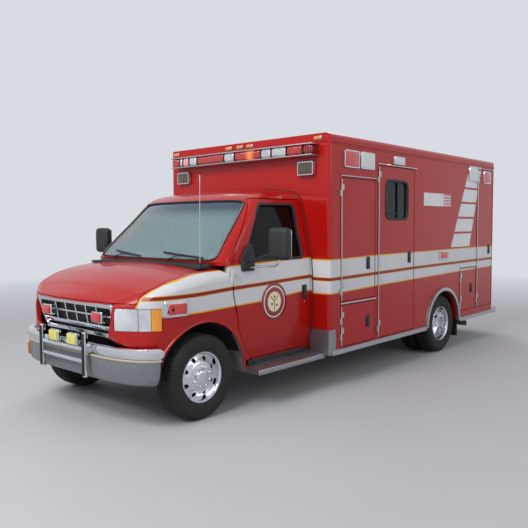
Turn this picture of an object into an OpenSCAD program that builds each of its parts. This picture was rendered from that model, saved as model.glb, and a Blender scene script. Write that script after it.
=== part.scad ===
// Box ambulance on a one-ton van cab and chassis.
// Millimetres. +X is forward, +Y is the vehicle's left, +Z is up, and the ground is z = 0.
// Inside each module x is measured from the front axle; car() then moves it so that
// x = 0 is the middle of the vehicle's length.

/* [Overall] */
// Distance between the front and rear axle centres
wheelbase = 4013; // [3500:1:4700]
// Front axle to the foremost face of the push guard
front_reach = 775; // [740:1:900]
// Front axle back to the front face of the patient box
box_setback = 1509; // [1509:1:1600]

/* [Patient box] */
// Length of the box
box_len = 4164; // [3900:1:4900]
// Width of the box
box_w = 2438; // [2200:1:2700]
// Height of the box roof above the ground
box_top = 2592; // [2500:1:3000]
// Height of the lower edge of the box walls
box_bottom = 385; // [360:1:420]
// Thickness of the box walls and doors
wall = 50; // [35:1:60]
// Thickness of the box roof
roof_t = 60; // [40:1:90]
// Height of the floor's upper face
floor_z = 740; // [735:1:760]
// Thickness of the floor
floor_t = 50; // [30:1:60]
// Rounding of the roof's long edges
roof_r = 55; // [20:1:60]
// Rounding of the upright corners
corner_r = 40; // [20:1:48]

/* [Wheels] */
// Outer radius of a tyre
tire_r = 370; // [340:1:380]
// Width of a tyre
tire_w = 216; // [190:1:225]
// Radius of the rim's flange
rim_r = 222; // [200:1:235]
// Track of the front wheels
front_track = 1766; // [1700:1:1790]
// Track of the twin wheels, measured between the middles of the pairs
rear_track = 1960; // [1900:1:1975]
// Distance between the two tyres of a pair
dual_spacing = 250; // [245:1:255]
// Wheel studs on a wheel
stud_count = 8; // [5:1:10]

/* [Steering] */
// Distance from the middle plane to a king pin
kingpin_y = 735; // [720:1:745]
// Radius of the king pin
kingpin_r = 16; // [12:1:20]
// Radius of the front wheel spindle
spindle_r = 28; // [22:1:32]

/* [Cab] */
// Length of the door opening's rear edge behind the front axle
door_rear = 1462; // [1440:1:1466]
// Thickness of the cab's side frames and doors
cab_wall = 70; // [50:1:80]
// Thickness of the fenders and the hood
skin = 28; // [20:1:40]
// Thickness of the window glass
glass_t = 8; // [6:1:10]
// Radius of the front wheel arch
front_arch_r = 480; // [470:1:490]

/* [Doors] */
// Gap round every hinged door
door_gap = 8; // [8:1:10]
// Width of a locker door
locker_w = 650; // [500:1:680]
// Width of the side entry door
entry_w = 812; // [700:1:850]
// Height of the side entry door's upper edge
entry_top = 2322; // [2100:1:2400]
// Width of one rear door
rear_door_w = 605; // [500:1:700]
// Height of the rear doors' upper edge
rear_door_top = 2290; // [2000:1:2350]
// Side of the square windows in the rear doors
rear_window = 420; // [300:1:440]

/* [Skirt and steps] */
// Radius of the rear wheel arch
rear_arch_r = 435; // [425:1:450]
// Width of the bright ring round the rear wheel arch
fenderette_w = 40; // [25:1:50]
// How far the rings and rails stand out from the walls
trim_out = 35; // [20:1:45]
// Depth of the rear step
step_d = 288; // [200:1:400]
// Width of the rear step
step_w = 2320; // [2000:1:2360]
// Height of the running boards and the rear step
step_z = 365; // [350:1:375]

/* [Hidden] */
$fn = 48;

half = box_w / 2;
box_front = -box_setback;
box_rear = box_front - box_len;
axle_z = tire_r;
rear_end = box_rear - step_d;
mid_x = (front_reach + rear_end) / 2;
inner = half - wall;                    // inner face of the side walls
seat_gap = 0.3;                         // between a soft or loose piece and its seat
cab_back = box_front + 12;
frame_y = 430;                          // middle of a frame rail
frame_top = floor_z - floor_t - 50;     // under the box's cross sills
frame_h = 150;
LEFT = 1;
RIGHT = -1;

// Lockers with doors in the side walls: side, front edge, width, bottom, top
rear_locker_x = box_rear + 595;
LOCKERS = [
    [LEFT, box_front - 200, locker_w, 880, 2150],
    [LEFT, box_front - 200, locker_w, 408, 835],
    [LEFT, rear_locker_x + 538, 516, 485, 1070],
    [LEFT, rear_locker_x, 533, 485, 2440],
    [RIGHT, box_front - 200, locker_w, 485, 2150],
    [RIGHT, rear_locker_x, 533, 485, 2440]];
FRONT_UPPER = 0;
FRONT_LOWER = 1;
REAR_LOWER = 2;
REAR_TALL = 3;
RIGHT_FRONT = 4;
RIGHT_REAR = 5;
locker_depth = 420;
sheet = 8;                              // thickness of the locker and cupboard panels
hinge_r = 7;                            // radius of a hinge pin
hinge_out = 8;                          // pin's middle to the outer face
hinge_h = 60;                           // height of one hinge leaf
entry_front = box_front - 200 - locker_w - 66;
entry_bottom = 408;

// Horizontal sections of the cab: height, windscreen middle x, corner x, corner y,
// start of the flank x, flank y, rear y
CAB = [
    [415, -572, -572, 945, -600, 950, 950],
    [560, -492, -492, 975, -520, 982, 982],
    [700, -434, -434, 990, -460, 1003, 1003],
    [1080, -330, -330, 990, -360, 1005, 1005],
    [1345, -130, -235, 900, -400, 975, 992],
    [1914, -650, -790, 750, -852, 850, 868],
    [1990, -760, -900, 690, -1000, 775, 805],
    [2067, -1150, -1250, 300, -1300, 350, 380]];

// Upright sections of the nose: x, half width, top of the flank, crown height, underside
NOSE = [
    [-560, 1003, 1180, 1345, 430],
    [-75, 1003, 1165, 1322, 536],
    [235, 985, 1130, 1272, 606],
    [430, 940, 1075, 1205, 650],
    [500, 890, 1040, 1175, 666],
    [550, 820, 1005, 1145, 680],
    [600, 745, 975, 1115, 694],
    [665, 615, 930, 1075, 780],
    [690, 480, 930, 1050, 880]];
screen_foot = 1345;                     // below this height the cab is open to the nose
shoulder = 150;                         // width of the rounded shoulder of the fenders
hood_lip = 1042;

// Side outline of a cab door: x, z
DOOR_OUTLINE = [
    [-334, 1346], [-815, 1925], [-door_rear + 34, 1925],
    [-door_rear, 1330], [-door_rear, 620], [-door_rear + 24, 510],
    [-door_rear + 100, 432], [-575, 432], [-500, 560], [-428, 727], [-362, 1080]];
// Side outline of its window: x, z
WINDOW_OUTLINE = [
    [-500, 1340], [-842, 1876], [-1320, 1884], [-1350, 1850],
    [-1360, 1355], [-1345, 1340]];
// Front outline of the windscreen, left half: y, z
SCREEN_OUTLINE = [
    [0, 1356], [840, 1362], [874, 1390], [757, 1865], [725, 1897], [0, 1906]];

// ---------- helpers ----------
module car() { translate([-mid_x, 0, 0]) children(); }
module both() {
    children();
    mirror([0, 1, 0]) children();
}
module block(a, b) {
    translate([min(a.x, b.x), min(a.y, b.y), min(a.z, b.z)])
        cube([abs(b.x - a.x), abs(b.y - a.y), abs(b.z - a.z)]);
}
// An x-z outline given thickness along y
module side_prism(y0, y1) {
    translate([0, y1, 0]) rotate([90, 0, 0]) linear_extrude(y1 - y0) children();
}
// A y-z outline given thickness along x
module front_prism(x0, x1) {
    translate([x0, 0, 0]) rotate([90, 0, 90]) linear_extrude(x1 - x0) children();
}
module rounded(x0, x1, y0, y1, r) {
    translate([x0 + r, y0]) square([x1 - x0 - 2 * r, y1 - y0]);
    translate([x0, y0 + r]) square([x1 - x0, y1 - y0 - 2 * r]);
    for (x = [x0 + r, x1 - r], y = [y0 + r, y1 - r]) translate([x, y]) circle(r);
}
module rod_y(x, z, r, y0, y1) {
    translate([x, y1, z]) rotate([90, 0, 0]) cylinder(r = r, h = y1 - y0);
}
module rod_x(y, z, r, x0, x1) {
    translate([x0, y, z]) rotate([0, 90, 0]) cylinder(r = r, h = x1 - x0);
}
// A straight tube between two points
module strut(a, b, r) {
    d = b - a;
    translate(a) rotate([0, acos(d.z / norm(d)), atan2(d.y, d.x)]) cylinder(r = r, h = norm(d));
}

// A hinge is drawn with its pin along z at the origin, the moving panel towards -x and the
// outer face at y = -hinge_out. The fixed half holds the pin from the +x side.
module hinge_fixed(z) {
    difference() {
        block([0, -hinge_out, z], [36, hinge_r + 3, z + hinge_h]);
        translate([0, 0, z - 1]) cylinder(r = hinge_r + seat_gap, h = hinge_h + 2);
    }
}
module hinge_moving(z, arm = 36) {
    translate([0, 0, z - 5]) cylinder(r = hinge_r, h = 2 * hinge_h + 10);
    block([-arm, -hinge_out, z + hinge_h + 5], [0, hinge_r, z + 2 * hinge_h + 5]);
}
// Heights of a door's two hinges
function hinge_heights(low, high) = [low + 70, high - 70 - 2 * hinge_h];

// ---------- chassis ----------
rail_front = 560;
rail_rear = box_rear + 60;
CROSS_MEMBERS = [480, -1400, -2300, -3100, -4620, rail_rear + 60];
module chassis_frame() {
    color("dimgray") car() {
        both() difference() {
            block([rail_front, frame_y - 32, frame_top - frame_h],
                [rail_rear, frame_y + 32, frame_top]);
            block([rail_front + 1, frame_y - 33, frame_top - frame_h + 8],
                [rail_rear - 1, frame_y + 24, frame_top - 8]);
        }
        for (x = CROSS_MEMBERS)
            rod_y(x, frame_top - frame_h / 2, 38, -frame_y - 24, frame_y + 24);
    }
}

module engine_block() {
    color("slategray") car() block([430, -230, 560], [-880, 230, 1010]);
}

shaft_z = axle_z + 60;
diff_r = 150;
module drive_line() {
    color("gray") car() {
        block([-880, -130, 470], [-1300, 130, 700]);
        rod_x(0, shaft_z, 48, -wheelbase + diff_r + 40, -1300);
    }
}

// Two crossed axle beams, their radius arms and springs; the king pins sit in their eyes
beam_end_h = 70;
module front_axle() {
    color("darkslategray") car() for (s = [LEFT, RIGHT]) {
        difference() {
            union() {
                strut([s * 45, s * (kingpin_y - 45), axle_z - 10],
                    [s * 45, -s * 330, axle_z + 40], 34);
                translate([0, s * kingpin_y, axle_z - beam_end_h / 2])
                    cylinder(r = 42, h = beam_end_h);
                block([0, s * (kingpin_y - 90), axle_z - 28], [s * 79, s * (kingpin_y - 20), axle_z + 28]);
            }
            translate([0, s * kingpin_y, 0])
                cylinder(r = kingpin_r + 0.3, h = 2 * axle_z);
        }
        block([s * 75 + 20, -s * 310, axle_z + 25],
            [s * 75 - 60, -s * (frame_y - 32), frame_top - frame_h + 20]);
        translate([s * 45, s * (frame_y + 90), axle_z + 20]) cylinder(r = 55, h = 250);
        block([s * 45 - 60, s * (frame_y + 32), axle_z + 230],
            [s * 45 + 60, s * (frame_y + 150), axle_z + 268]);
        strut([s * 45 - 20, s * (frame_y + 90), axle_z - 10],
            [-780, s * (frame_y - 10), frame_top - frame_h - 25], 24);
    }
}

// A live axle on long leaf springs
spring_y = frame_y + 95;
spring_reach = 720;
rear_inner = rear_track / 2 - dual_spacing / 2;
rear_outer = rear_track / 2 + dual_spacing / 2;
rear_spindle_r = 42;
module rear_axle() {
    color("darkslategray") car() translate([-wheelbase, 0, 0]) {
        rod_y(0, axle_z, 58, -rear_inner + 130, rear_inner - 130);
        rod_y(0, axle_z, rear_spindle_r, -rear_outer + 20, rear_outer - 20);
        sphere_at = [0, 0, axle_z];
        translate(sphere_at) sphere(diff_r, $fn = 40);
        rod_x(0, shaft_z - 60, 60, 0, diff_r + 40);
        for (s = [LEFT, RIGHT]) {
            side_prism(s * spring_y - 38, s * spring_y + 38) polygon([
                [-spring_reach, 480], [-spring_reach * 0.5, axle_z + 50], [-120, axle_z - 75],
                [120, axle_z - 75], [spring_reach * 0.5, axle_z + 50], [spring_reach, 480],
                [spring_reach, 505], [spring_reach * 0.5, axle_z + 90], [120, axle_z - 20],
                [-120, axle_z - 20], [-spring_reach * 0.5, axle_z + 90], [-spring_reach, 505]]);
            for (x = [-spring_reach, spring_reach])
                rod_y(x, 495, 22, min(s * (frame_y + 32), s * (spring_y + 45)),
                    max(s * (frame_y + 32), s * (spring_y + 45)));
        }
    }
}

module fuel_tank() {
    color("dimgray") car() translate([-wheelbase - 640, 0, 0])
        side_prism(-frame_y + 32, frame_y - 32) rounded(-760, 0, 300, 570, 45);
}

// Silencer under the frame and a tail pipe that ends behind the left twin wheels
pipe_r = 32;
tail_x = -wheelbase - 690;
tail_z = 305;
// Route of the pipe from the engine to its open end
PIPE_ROUTE = [[-900, 250, 430], [-3400, 250, 430], [-3570, 300, 585], [-4380, 300, 585],
    [-4540, 330, 425], [tail_x + 45, 560, tail_z], [tail_x, half - 25, tail_z - 10]];
module exhaust_pipe() {
    color("gray") car() {
        rod_x(250, 430, 95, -2700, -1940);
        for (i = [1:len(PIPE_ROUTE) - 1]) strut(PIPE_ROUTE[i - 1], PIPE_ROUTE[i], pipe_r);
        for (i = [1:len(PIPE_ROUTE) - 2]) translate(PIPE_ROUTE[i]) sphere(pipe_r + 6);
        block([-900, 230, 400], [-860, 270, 600]);
        block([-2000, 240, 500], [-1960, 452, 520]);
    }
}

// ---------- wheels ----------
// Half of the tyre's section from the bead to the tread: radius, half width
bead_half = tire_w * 0.37;
function tire_side(sign) = [
    [rim_r - 17, sign * bead_half], [rim_r + 6, sign * (bead_half + 8)],
    [rim_r + 38, sign * (tire_w / 2 - 6)], [(rim_r + tire_r) / 2 + 10, sign * tire_w / 2],
    [tire_r - 32, sign * (tire_w / 2 - 8)], [tire_r - 8, sign * (tire_w / 2 - 24)],
    [tire_r, sign * (tire_w / 2 - 44)]];
module tire() {
    rotate([90, 0, 0]) rotate_extrude($fn = 72) polygon(concat(
        tire_side(1), [for (i = [6:-1:0]) tire_side(-1)[i]]));
}
// Rim with its well, its disc and its hub cap. out is the side that the cap faces. dish and
// land place the disc's middle and its edge on the well: positive towards that side.
well_r = rim_r - 17 - seat_gap;
module rim(out, dish, land, cap, bore) {
    difference() {
        rotate([out * -90, 0, 0]) {
            rotate_extrude($fn = 72) polygon([
                [well_r - 7, -bead_half - 3], [well_r, -bead_half + 4], [well_r, bead_half - 4],
                [well_r, bead_half + 1.5], [rim_r, bead_half + 9], [rim_r, bead_half + 12],
                [rim_r - 12, bead_half + 12], [well_r - 7, bead_half - 2]]);
            rotate_extrude($fn = 72) polygon([
                [well_r - 7, -bead_half - 3], [well_r - 7, -bead_half - 12],
                [rim_r, -bead_half - 12], [rim_r, -bead_half - 9.5], [well_r, -bead_half - 1.5],
                [well_r, -bead_half + 4]]);
            rotate_extrude($fn = 72) polygon([
                [bore, dish - 14], [118, dish - 14], [150, (dish + land) / 2 - 8],
                [well_r - 7, land - 12], [well_r - 1, land - 12], [well_r - 1, land],
                [155, (dish + land) / 2 + 6], [124, dish], [bore, dish]]);
            if (cap > 0) translate([0, 0, dish - 0.5])
                rotate_extrude() polygon([
                    [0, cap - 12], [bore, cap - 12], [bore, 0], [80, 0], [76, cap - 10],
                    [66, cap], [0, cap]]);
        }
        for (a = [0:360 / stud_count:359]) rotate([0, a + 180 / stud_count, 0])
            rod_y(166, 0, 15, -tire_w, tire_w);
    }
}

front_y = front_track / 2;
front_disc = 66;
front_land = 28;
front_cap = 30;
module front_wheel(s) {
    translate([0, s * front_y, axle_z]) {
        color("black") tire();
        color("silver") rim(s, front_disc, front_land, front_cap, spindle_r + seat_gap);
    }
}
module front_wheel_left() { car() front_wheel(LEFT); }
module front_wheel_right() { car() front_wheel(RIGHT); }

// The two rims of a pair are bolted back to back at their discs
rear_disc = -dual_spacing / 2 + 28;
rear_land = -46;
module rear_wheels(s) {
    translate([-wheelbase, s * rear_outer, axle_z]) {
        color("black") tire();
        color("silver") rim(s, rear_disc, rear_land, 100, rear_spindle_r + seat_gap);
    }
    translate([-wheelbase, s * rear_inner, axle_z]) {
        color("black") tire();
        color("silver") rim(-s, rear_disc, rear_land, 0, rear_spindle_r + seat_gap);
    }
    color("silver") translate([-wheelbase, s * (rear_outer + rear_inner) / 2, axle_z])
        difference() {
            rod_y(0, 0, 115, -15, 15);
            rod_y(0, 0, rear_spindle_r + seat_gap, -16, 16);
        }
}
module rear_wheels_left() { car() rear_wheels(LEFT); }
module rear_wheels_right() { car() rear_wheels(RIGHT); }

// Steering knuckle: a king pin held by two ears, and the wheel's spindle
ear_gap = 6;
module knuckle(s) {
    color("gray") translate([0, s * kingpin_y, axle_z]) {
        translate([0, 0, -beam_end_h / 2 - 40]) cylinder(r = kingpin_r, h = beam_end_h + 80);
        for (z = [-beam_end_h / 2 - ear_gap - 24, beam_end_h / 2 + ear_gap]) {
            translate([0, 0, z]) cylinder(r = 34, h = 24);
            block([-30, 0, z], [30, s * 66, z + 24]);
        }
        block([-34, s * 56, -beam_end_h / 2 - ear_gap - 24],
            [34, s * 82, beam_end_h / 2 + ear_gap + 24]);
        rod_y(0, 0, spindle_r, min(s * 80, s * (front_y - kingpin_y + front_disc + 10)),
            max(s * 80, s * (front_y - kingpin_y + front_disc + 10)));
    }
}
module knuckle_left() { car() knuckle(LEFT); }
module knuckle_right() { car() knuckle(RIGHT); }

// ---------- cab ----------
// One section's outline; t runs across the bowed windscreen
function cab_section(c, in, back) = let (
        x_in = c[0] < screen_foot ? -20 : in * 1.2)
    concat([[back, c[6] - in], [c[4], c[5] - in]],
        [for (t = [1:-0.25:-1]) [c[2] + (c[1] - c[2]) * (1 - t * t)
            - (in > 0 ? x_in : in), (c[3] - in) * t]],
        [[c[4], in - c[5]], [back, in - c[6]]]);
cab_hinge = [-327, 1011];
cab_hinge_z = 1150;
cab_hinge_arm = 70;
// The whole cab, shrunk by a wall thickness where in is above 0
module cab_body(in, back, deeper) {
    hull() for (i = [0:len(CAB) - 1]) {
        c = CAB[i];
        last = i == len(CAB) - 1;
        translate([0, 0, c[0] - (i == 0 ? deeper : 0) - (last ? in * 0.7 + 1 : 0)])
            linear_extrude(1) polygon(cab_section(c, in, back));
    }
}
function nose_section(n, in) = let (
        low = n[4] - (in > 0 ? 60 : 0),
        w = n[1] - in, side = n[2] - in, crown = n[3] - in)
    concat([[w - 12, low], [w, (low + side) / 2]],
        [for (a = [0:22.5:90]) [w - shoulder * (1 - cos(a)), side + (crown - 45 - side) * sin(a)]],
        [[w * 0.45, crown - 8]]);
module nose_body(in) {
    hull() for (n = NOSE) {
        half_side = nose_section(n, in);
        translate([n[0] - (in > 0 ? in : 0), 0, 0]) rotate([90, 0, 90]) linear_extrude(1)
            polygon(concat(half_side, [for (i = [len(half_side) - 1:-1:0])
                [-half_side[i].x, half_side[i].y]]));
    }
}
// A door's outline, grown by a gap
module door_area(grow) {
    offset(delta = grow) polygon(DOOR_OUTLINE);
}
module screen_area(grow) {
    offset(delta = grow) polygon(concat(SCREEN_OUTLINE,
        [for (i = [len(SCREEN_OUTLINE) - 1:-1:0]) [-SCREEN_OUTLINE[i].x, SCREEN_OUTLINE[i].y]]));
}
sill_y = 874;                           // inner face of the door sills
pillar_y = 730;                         // inner limit of the door openings
firewall_x = -400;
cowl_z = 1312;
module cab_shell() {
    color("firebrick") car() difference() {
        cab_body(0, cab_back, 0);
        cab_body(cab_wall, cab_back - 1, 2);
        both() side_prism(pillar_y, box_w) door_area(door_gap);
        front_prism(-1000, 200) screen_area(seat_gap + 2);
        block([firewall_x + 78, -half, 0], [200, half, cowl_z + 2]);
        block([firewall_x - 200, -sill_y + 80, 0], [200, sill_y - 80, cowl_z + 2]);
        both() {
            block([-480, half, 0], [200, 700, 1180]);
            block([-640, half, 0], [200, 700, 735]);
        }
    }
}
module windshield() {
    color("lightsteelblue", 0.4) car() intersection() {
        difference() {
            cab_body(2, cab_back, 0);
            cab_body(2 + glass_t, cab_back - 1, 2);
        }
        front_prism(-1000, 200) screen_area(2);
    }
}
module cab_door(s) {
    color("firebrick") intersection() {
        difference() {
            cab_body(0, cab_back, 0);
            cab_body(cab_wall, cab_back - 1, 2);
            side_prism(-half, half) polygon(WINDOW_OUTLINE);
        }
        side_prism(s > 0 ? pillar_y : -half, s > 0 ? half : -pillar_y) polygon(DOOR_OUTLINE);
    }
    color("slategray", 0.5) intersection() {
        difference() {
            cab_body(30, cab_back, 0);
            cab_body(30 + glass_t, cab_back - 1, 2);
        }
        side_prism(s > 0 ? 0 : -half, s > 0 ? half : 0) offset(delta = -seat_gap)
            polygon(WINDOW_OUTLINE);
    }
    mirror([0, s > 0 ? 0 : 1, 0]) translate([cab_hinge[0], cab_hinge[1], 0])
        hinge_moving(cab_hinge_z, cab_hinge_arm);
    mirror_x = -580;
    mirror_head = [[mirror_x - 45, 1235, 1364], [mirror_x + 45, 1470, 1648]];
    color("black") mirror([0, s > 0 ? 0 : 1, 0]) {
        translate([mirror_head[0].x, 0, 0]) rotate([90, 0, 90]) linear_extrude(90)
            rounded(mirror_head[0].y, mirror_head[1].y, mirror_head[0].z, mirror_head[1].z, 50);
        for (z = [1395, 1450])
            strut([mirror_x + 20, 940, z - 110], [mirror_x, 1260, z], 13);
        block([mirror_x - 30, 935, 1230], [mirror_x + 95, 1012, 1372]);
    }
}
module cab_door_left() { car() cab_door(LEFT); }
module cab_door_right() { car() cab_door(RIGHT); }

// Floor, side steps, firewall, cowl and the cover over the engine
cover_y = 290;
cover_x = -930;
cover_top = 1130;
module cab_floor() {
    color("gray") car() difference() {
        union() {
            block([firewall_x, -sill_y, floor_z - 40], [cab_back, sill_y, floor_z]);
            block([firewall_x, -sill_y + 20, floor_z - 40], [firewall_x - 30, sill_y - 20, cowl_z]);
            block([hood_hinge[0] - 8, -sill_y + 30, cowl_z - 25],
                [firewall_x - 30, sill_y - 30, cowl_z]);
            for (y = HOOD_HINGES) translate([hood_hinge[0], y, hood_hinge[1]])
                rotate([90, 0, 180]) translate([0, 0, -hinge_h]) hinge_fixed(0);
            block([firewall_x, -cover_y, floor_z - 20], [cover_x, cover_y, cover_top]);
            both() {
                block([-600, sill_y - 20, step_z + 3], [cab_back, sill_y, floor_z]);
                block([-600, sill_y - 1, step_z + 3], [cab_back, 945, CAB[0][0] - seat_gap]);
            }
        }
        block([firewall_x + 1, -cover_y + 15, 0], [cover_x + 15, cover_y - 15, cover_top - 15]);
    }
}
module front_fenders() {
    color("firebrick") car() difference() {
        nose_body(0);
        nose_body(skin);
        cab_body(-seat_gap, cab_back, 300);
        both() side_prism(500, box_w) door_area(door_gap);
        block([-700, -half, 0], [-560, half, 1500]);
        block([-700, -sill_y, 600], [-60, sill_y, 1500]);
        hood_area(door_gap, hood_lip - door_gap);
        grille_place() front_prism(-200, 200) grille_outline(-seat_gap);
        both() block([326, 632 - seat_gap, lamp_low - seat_gap],
            [900, 1010, lamp_high + seat_gap]);
        rod_y(-20, axle_z, front_arch_r, -half, half);
        block([-700, -820, 300], [560, 820, 690]);
        both() block([cab_hinge[0] - 30, 900, cab_hinge_z + hinge_h + 0.5],
            [cab_hinge[0] + 12, half, cab_hinge_z + 2 * hinge_h + 11]);
    }
    color("firebrick") car() both() translate([cab_hinge[0], cab_hinge[1], 0])
        hinge_fixed(cab_hinge_z);
}
// The hood's outline seen from above, grown by a gap and open above a height
module hood_area(grow, low) {
    translate([0, 0, low]) linear_extrude(1000) offset(delta = grow)
        polygon([[-72, -845], [420, -838], [560, -800], [900, -700], [900, 700], [560, 800],
            [420, 838], [-72, 845]]);
}
hood_hinge = [-84, 1298];
HOOD_HINGES = [-560, 480];
module hood() {
    color("firebrick") car() for (y = HOOD_HINGES)
        translate([hood_hinge[0], y, hood_hinge[1]]) rotate([90, 0, 180])
            translate([0, 0, -hinge_h]) hinge_moving(0);
    color("firebrick") car() intersection() {
        difference() {
            nose_body(0);
            nose_body(skin);
        }
        hood_area(0, hood_lip);
    }
}
// Bright surround, bars and a dark back plate; it leans back at the foot
grille_half = 610;
grille_foot = 470;
grille_low = 745;
grille_high = 1030;
module grille_outline(in) {
    polygon([[-grille_half + in, grille_high - in], [grille_half - in, grille_high - in],
        [grille_half - 20 - in, grille_high - 110], [grille_foot - in * 0.8, grille_low + in],
        [-grille_foot + in * 0.8, grille_low + in], [-grille_half + 20 + in, grille_high - 110]]);
}
module grille_place() {
    translate([650, 0, grille_high]) rotate([0, 10, 0]) translate([0, 0, -grille_high])
        children();
}
module grille() {
    color("silver") car() grille_place() {
            difference() {
                front_prism(-45, 0) grille_outline(0);
                front_prism(-33, 1) grille_outline(38);
            }
            for (y = [-210, 0, 210]) block([-40, y - 8, grille_low + 20], [-6, y + 8, grille_high - 20]);
            for (z = [815, 910])
                block([-40, -grille_foot + 10, z - 14], [-4, grille_foot - 10, z + 14]);
        }
}
lamp_low = 815;
lamp_high = 1003;
module front_lamps() {
    car() {
        color("whitesmoke") both() intersection() {
            difference() {
                nose_body(3);
                nose_body(65);
            }
            block([330, 632, lamp_low], [700, 1000, lamp_high]);
        }
        color("gold") both() rod_x(149, guard_bars[0] + 68, 48, 735, 770);
    }
}
// A bowed bumper: bright upper part over a plain valance. x of the outer face at y
bumper_x = 712;
bumper_back = 440;
bumper_half = 1012;
function bow_x(y, in) = bumper_back - in + (bumper_x - bumper_back)
    * pow(1 - pow(abs(y) / (bumper_half + 2), 4.2), 1 / 2.2);
module bumper_ring(in, thick, z0, z1) {
    ys = [for (i = [-20:20]) i / 20 * (bumper_half - in)];
    translate([0, 0, z0]) linear_extrude(z1 - z0) polygon(concat(
        [for (y = ys) [bow_x(y, in), y]],
        [for (i = [40:-1:0]) [bow_x(ys[i], in + thick), ys[i] * (1 - thick / bumper_half)]]));
}
module front_bumper() {
    color("silver") car() {
        bumper_ring(0, 60, 575, 690);
        bumper_ring(14, 46, 390, 580);
        both() block([rail_front, frame_y - 32, frame_top - 95],
            [bow_x(frame_y, 50), frame_y + 32, frame_top - 60]);
    }
}
guard_y = 346;
guard_bars = [640, 540];
module grille_guard() {
    color("silver") car() {
        both() {
            block([front_reach - 48, guard_y - 20, 408], [front_reach, guard_y + 20, 790]);
            block([bow_x(guard_y, 0) + seat_gap, guard_y - 16, 610], [front_reach - 40, guard_y + 16, 650]);
        }
        for (z = guard_bars) rod_y(front_reach - 24, z, 20, -guard_y, guard_y);
    }
}
module running_boards() {
    color("lightgray") car() both() {
        block([-500, 948, step_z - 45], [box_front + 20, 1170, step_z]);
        for (x = [-700, -1300]) block([x, frame_y + 32, step_z - 40], [x - 60, 950, step_z - 15]);
        for (x = [-700, -1300]) block([x, frame_y + 32, step_z - 40],
            [x - 60, frame_y + 60, frame_top - frame_h + 10]);
    }
}
dash_top = 1400;
column_r = 26;
module dashboard() {
    color("dimgray") car() difference() {
        side_prism(-830, 830) polygon([
            [firewall_x - 30, cover_top], [firewall_x - 30, dash_top - 40],
            [firewall_x - 60, dash_top], [-600, dash_top - 8], [-640, dash_top - 50],
            [-640, 1200], [-560, cover_top]]);
        column_place() cylinder(r = column_r + seat_gap, h = 145 + seat_gap);
    }
}
wheel_hub = [-747, -364, 1405];
wheel_lean = 30;
module column_place() {
    translate(wheel_hub) rotate([0, 90 + wheel_lean, 0]) children();
}
module steering_wheel() {
    color("dimgray") car() column_place() {
        rotate_extrude() translate([182, 0]) circle(14);
        cylinder(r = 60, h = 40, center = true);
        for (a = [20, 160, 270]) rotate([0, 0, a]) block([40, -14, -8], [180, 14, 8]);
        cylinder(r = column_r, h = 145);
    }
}
seat_y = 440;
module cab_seats() {
    color("gray") car() for (y = [-seat_y, seat_y]) {
        block([-1010, y - 135, floor_z + seat_gap], [-1400, y + 135, 960]);
        side_prism(y - 240, y + 240) rounded(-1440, -940, 960 + seat_gap, 1110, 50);
        side_prism(y - 235, y + 235) polygon([
            [-1330, 1110 + seat_gap], [-1450, 1110 + seat_gap], [-1482, 1520], [-1480, 1560],
            [-1400, 1560], [-1370, 1500]]);
        side_prism(y - 130, y + 130) rounded(-1480, -1390, 1560 + seat_gap, 1740, 30);
    }
}

// ---------- patient box ----------
module box_body() {
    intersection() {
        linear_extrude(box_top + 1) rounded(box_rear, box_front, -half, half, corner_r);
        front_prism(box_rear, box_front) rounded(-half, half, box_bottom - 100, box_top, roof_r);
    }
}
module locker_hole(i, grow) {
    l = LOCKERS[i];
    block([l[1] + grow, l[0] * (inner - 2), l[3] - grow],
        [l[1] - l[2] - grow, l[0] * (half + 2), l[4] + grow]);
}
module entry_hole(grow) {
    block([entry_front + grow, inner - 2, entry_bottom - grow],
        [entry_front - entry_w - grow, half + 2, entry_top + grow]);
}
// Space behind a locker's door, as deep as the locker
module locker_space(i, grow, out) {
    l = LOCKERS[i];
    block([l[1] + grow, l[0] * (inner - locker_depth - grow), l[3] - grow],
        [l[1] - l[2] - grow, l[0] * (inner + out), l[4] + grow]);
}
wall_top = box_top - roof_t;
// Brackets that carry the doors of one side wall
module wall_hinges(s) {
    for (i = [0:len(LOCKERS) - 1]) if (LOCKERS[i][0] == s) mirror([0, s > 0 ? 0 : 1, 0])
        translate([LOCKERS[i][1] + door_gap / 2, half + hinge_out, 0])
            for (z = hinge_heights(LOCKERS[i][3], LOCKERS[i][4])) hinge_fixed(z);
    if (s == LEFT) translate([entry_front + door_gap / 2, half + hinge_out, 0])
        for (z = hinge_heights(entry_bottom, entry_top)) hinge_fixed(z);
}
module box_left_wall() {
    color("silver") car() wall_hinges(LEFT);
    color("firebrick") car() difference() {
        intersection() {
            box_body();
            block([box_front, inner, box_bottom], [box_rear, half, wall_top]);
        }
        for (i = [FRONT_UPPER, FRONT_LOWER, REAR_LOWER, REAR_TALL]) locker_hole(i, door_gap);
        entry_hole(door_gap);
        rod_y(-wheelbase, axle_z, rear_arch_r, 0, half + 1);
    }
}
module box_right_wall() {
    color("silver") car() wall_hinges(RIGHT);
    color("firebrick") car() difference() {
        intersection() {
            box_body();
            block([box_front, -inner, box_bottom], [box_rear, -half, wall_top]);
        }
        for (i = [RIGHT_FRONT, RIGHT_REAR]) locker_hole(i, door_gap);
        rod_y(-wheelbase, axle_z, rear_arch_r, -half - 1, 0);
    }
}
pass_half = 350;
pass_top = 1900;
module box_front_wall() {
    color("firebrick") car() difference() {
        block([box_front, -inner, box_bottom], [box_front - wall, inner, wall_top]);
        block([box_front + 1, -pass_half, floor_z], [box_front - wall - 1, pass_half, pass_top]);
        block([box_front + 1, -frame_y - 130, 0], [box_front - wall - 1, frame_y + 130, floor_z - floor_t]);
    }
}
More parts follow.
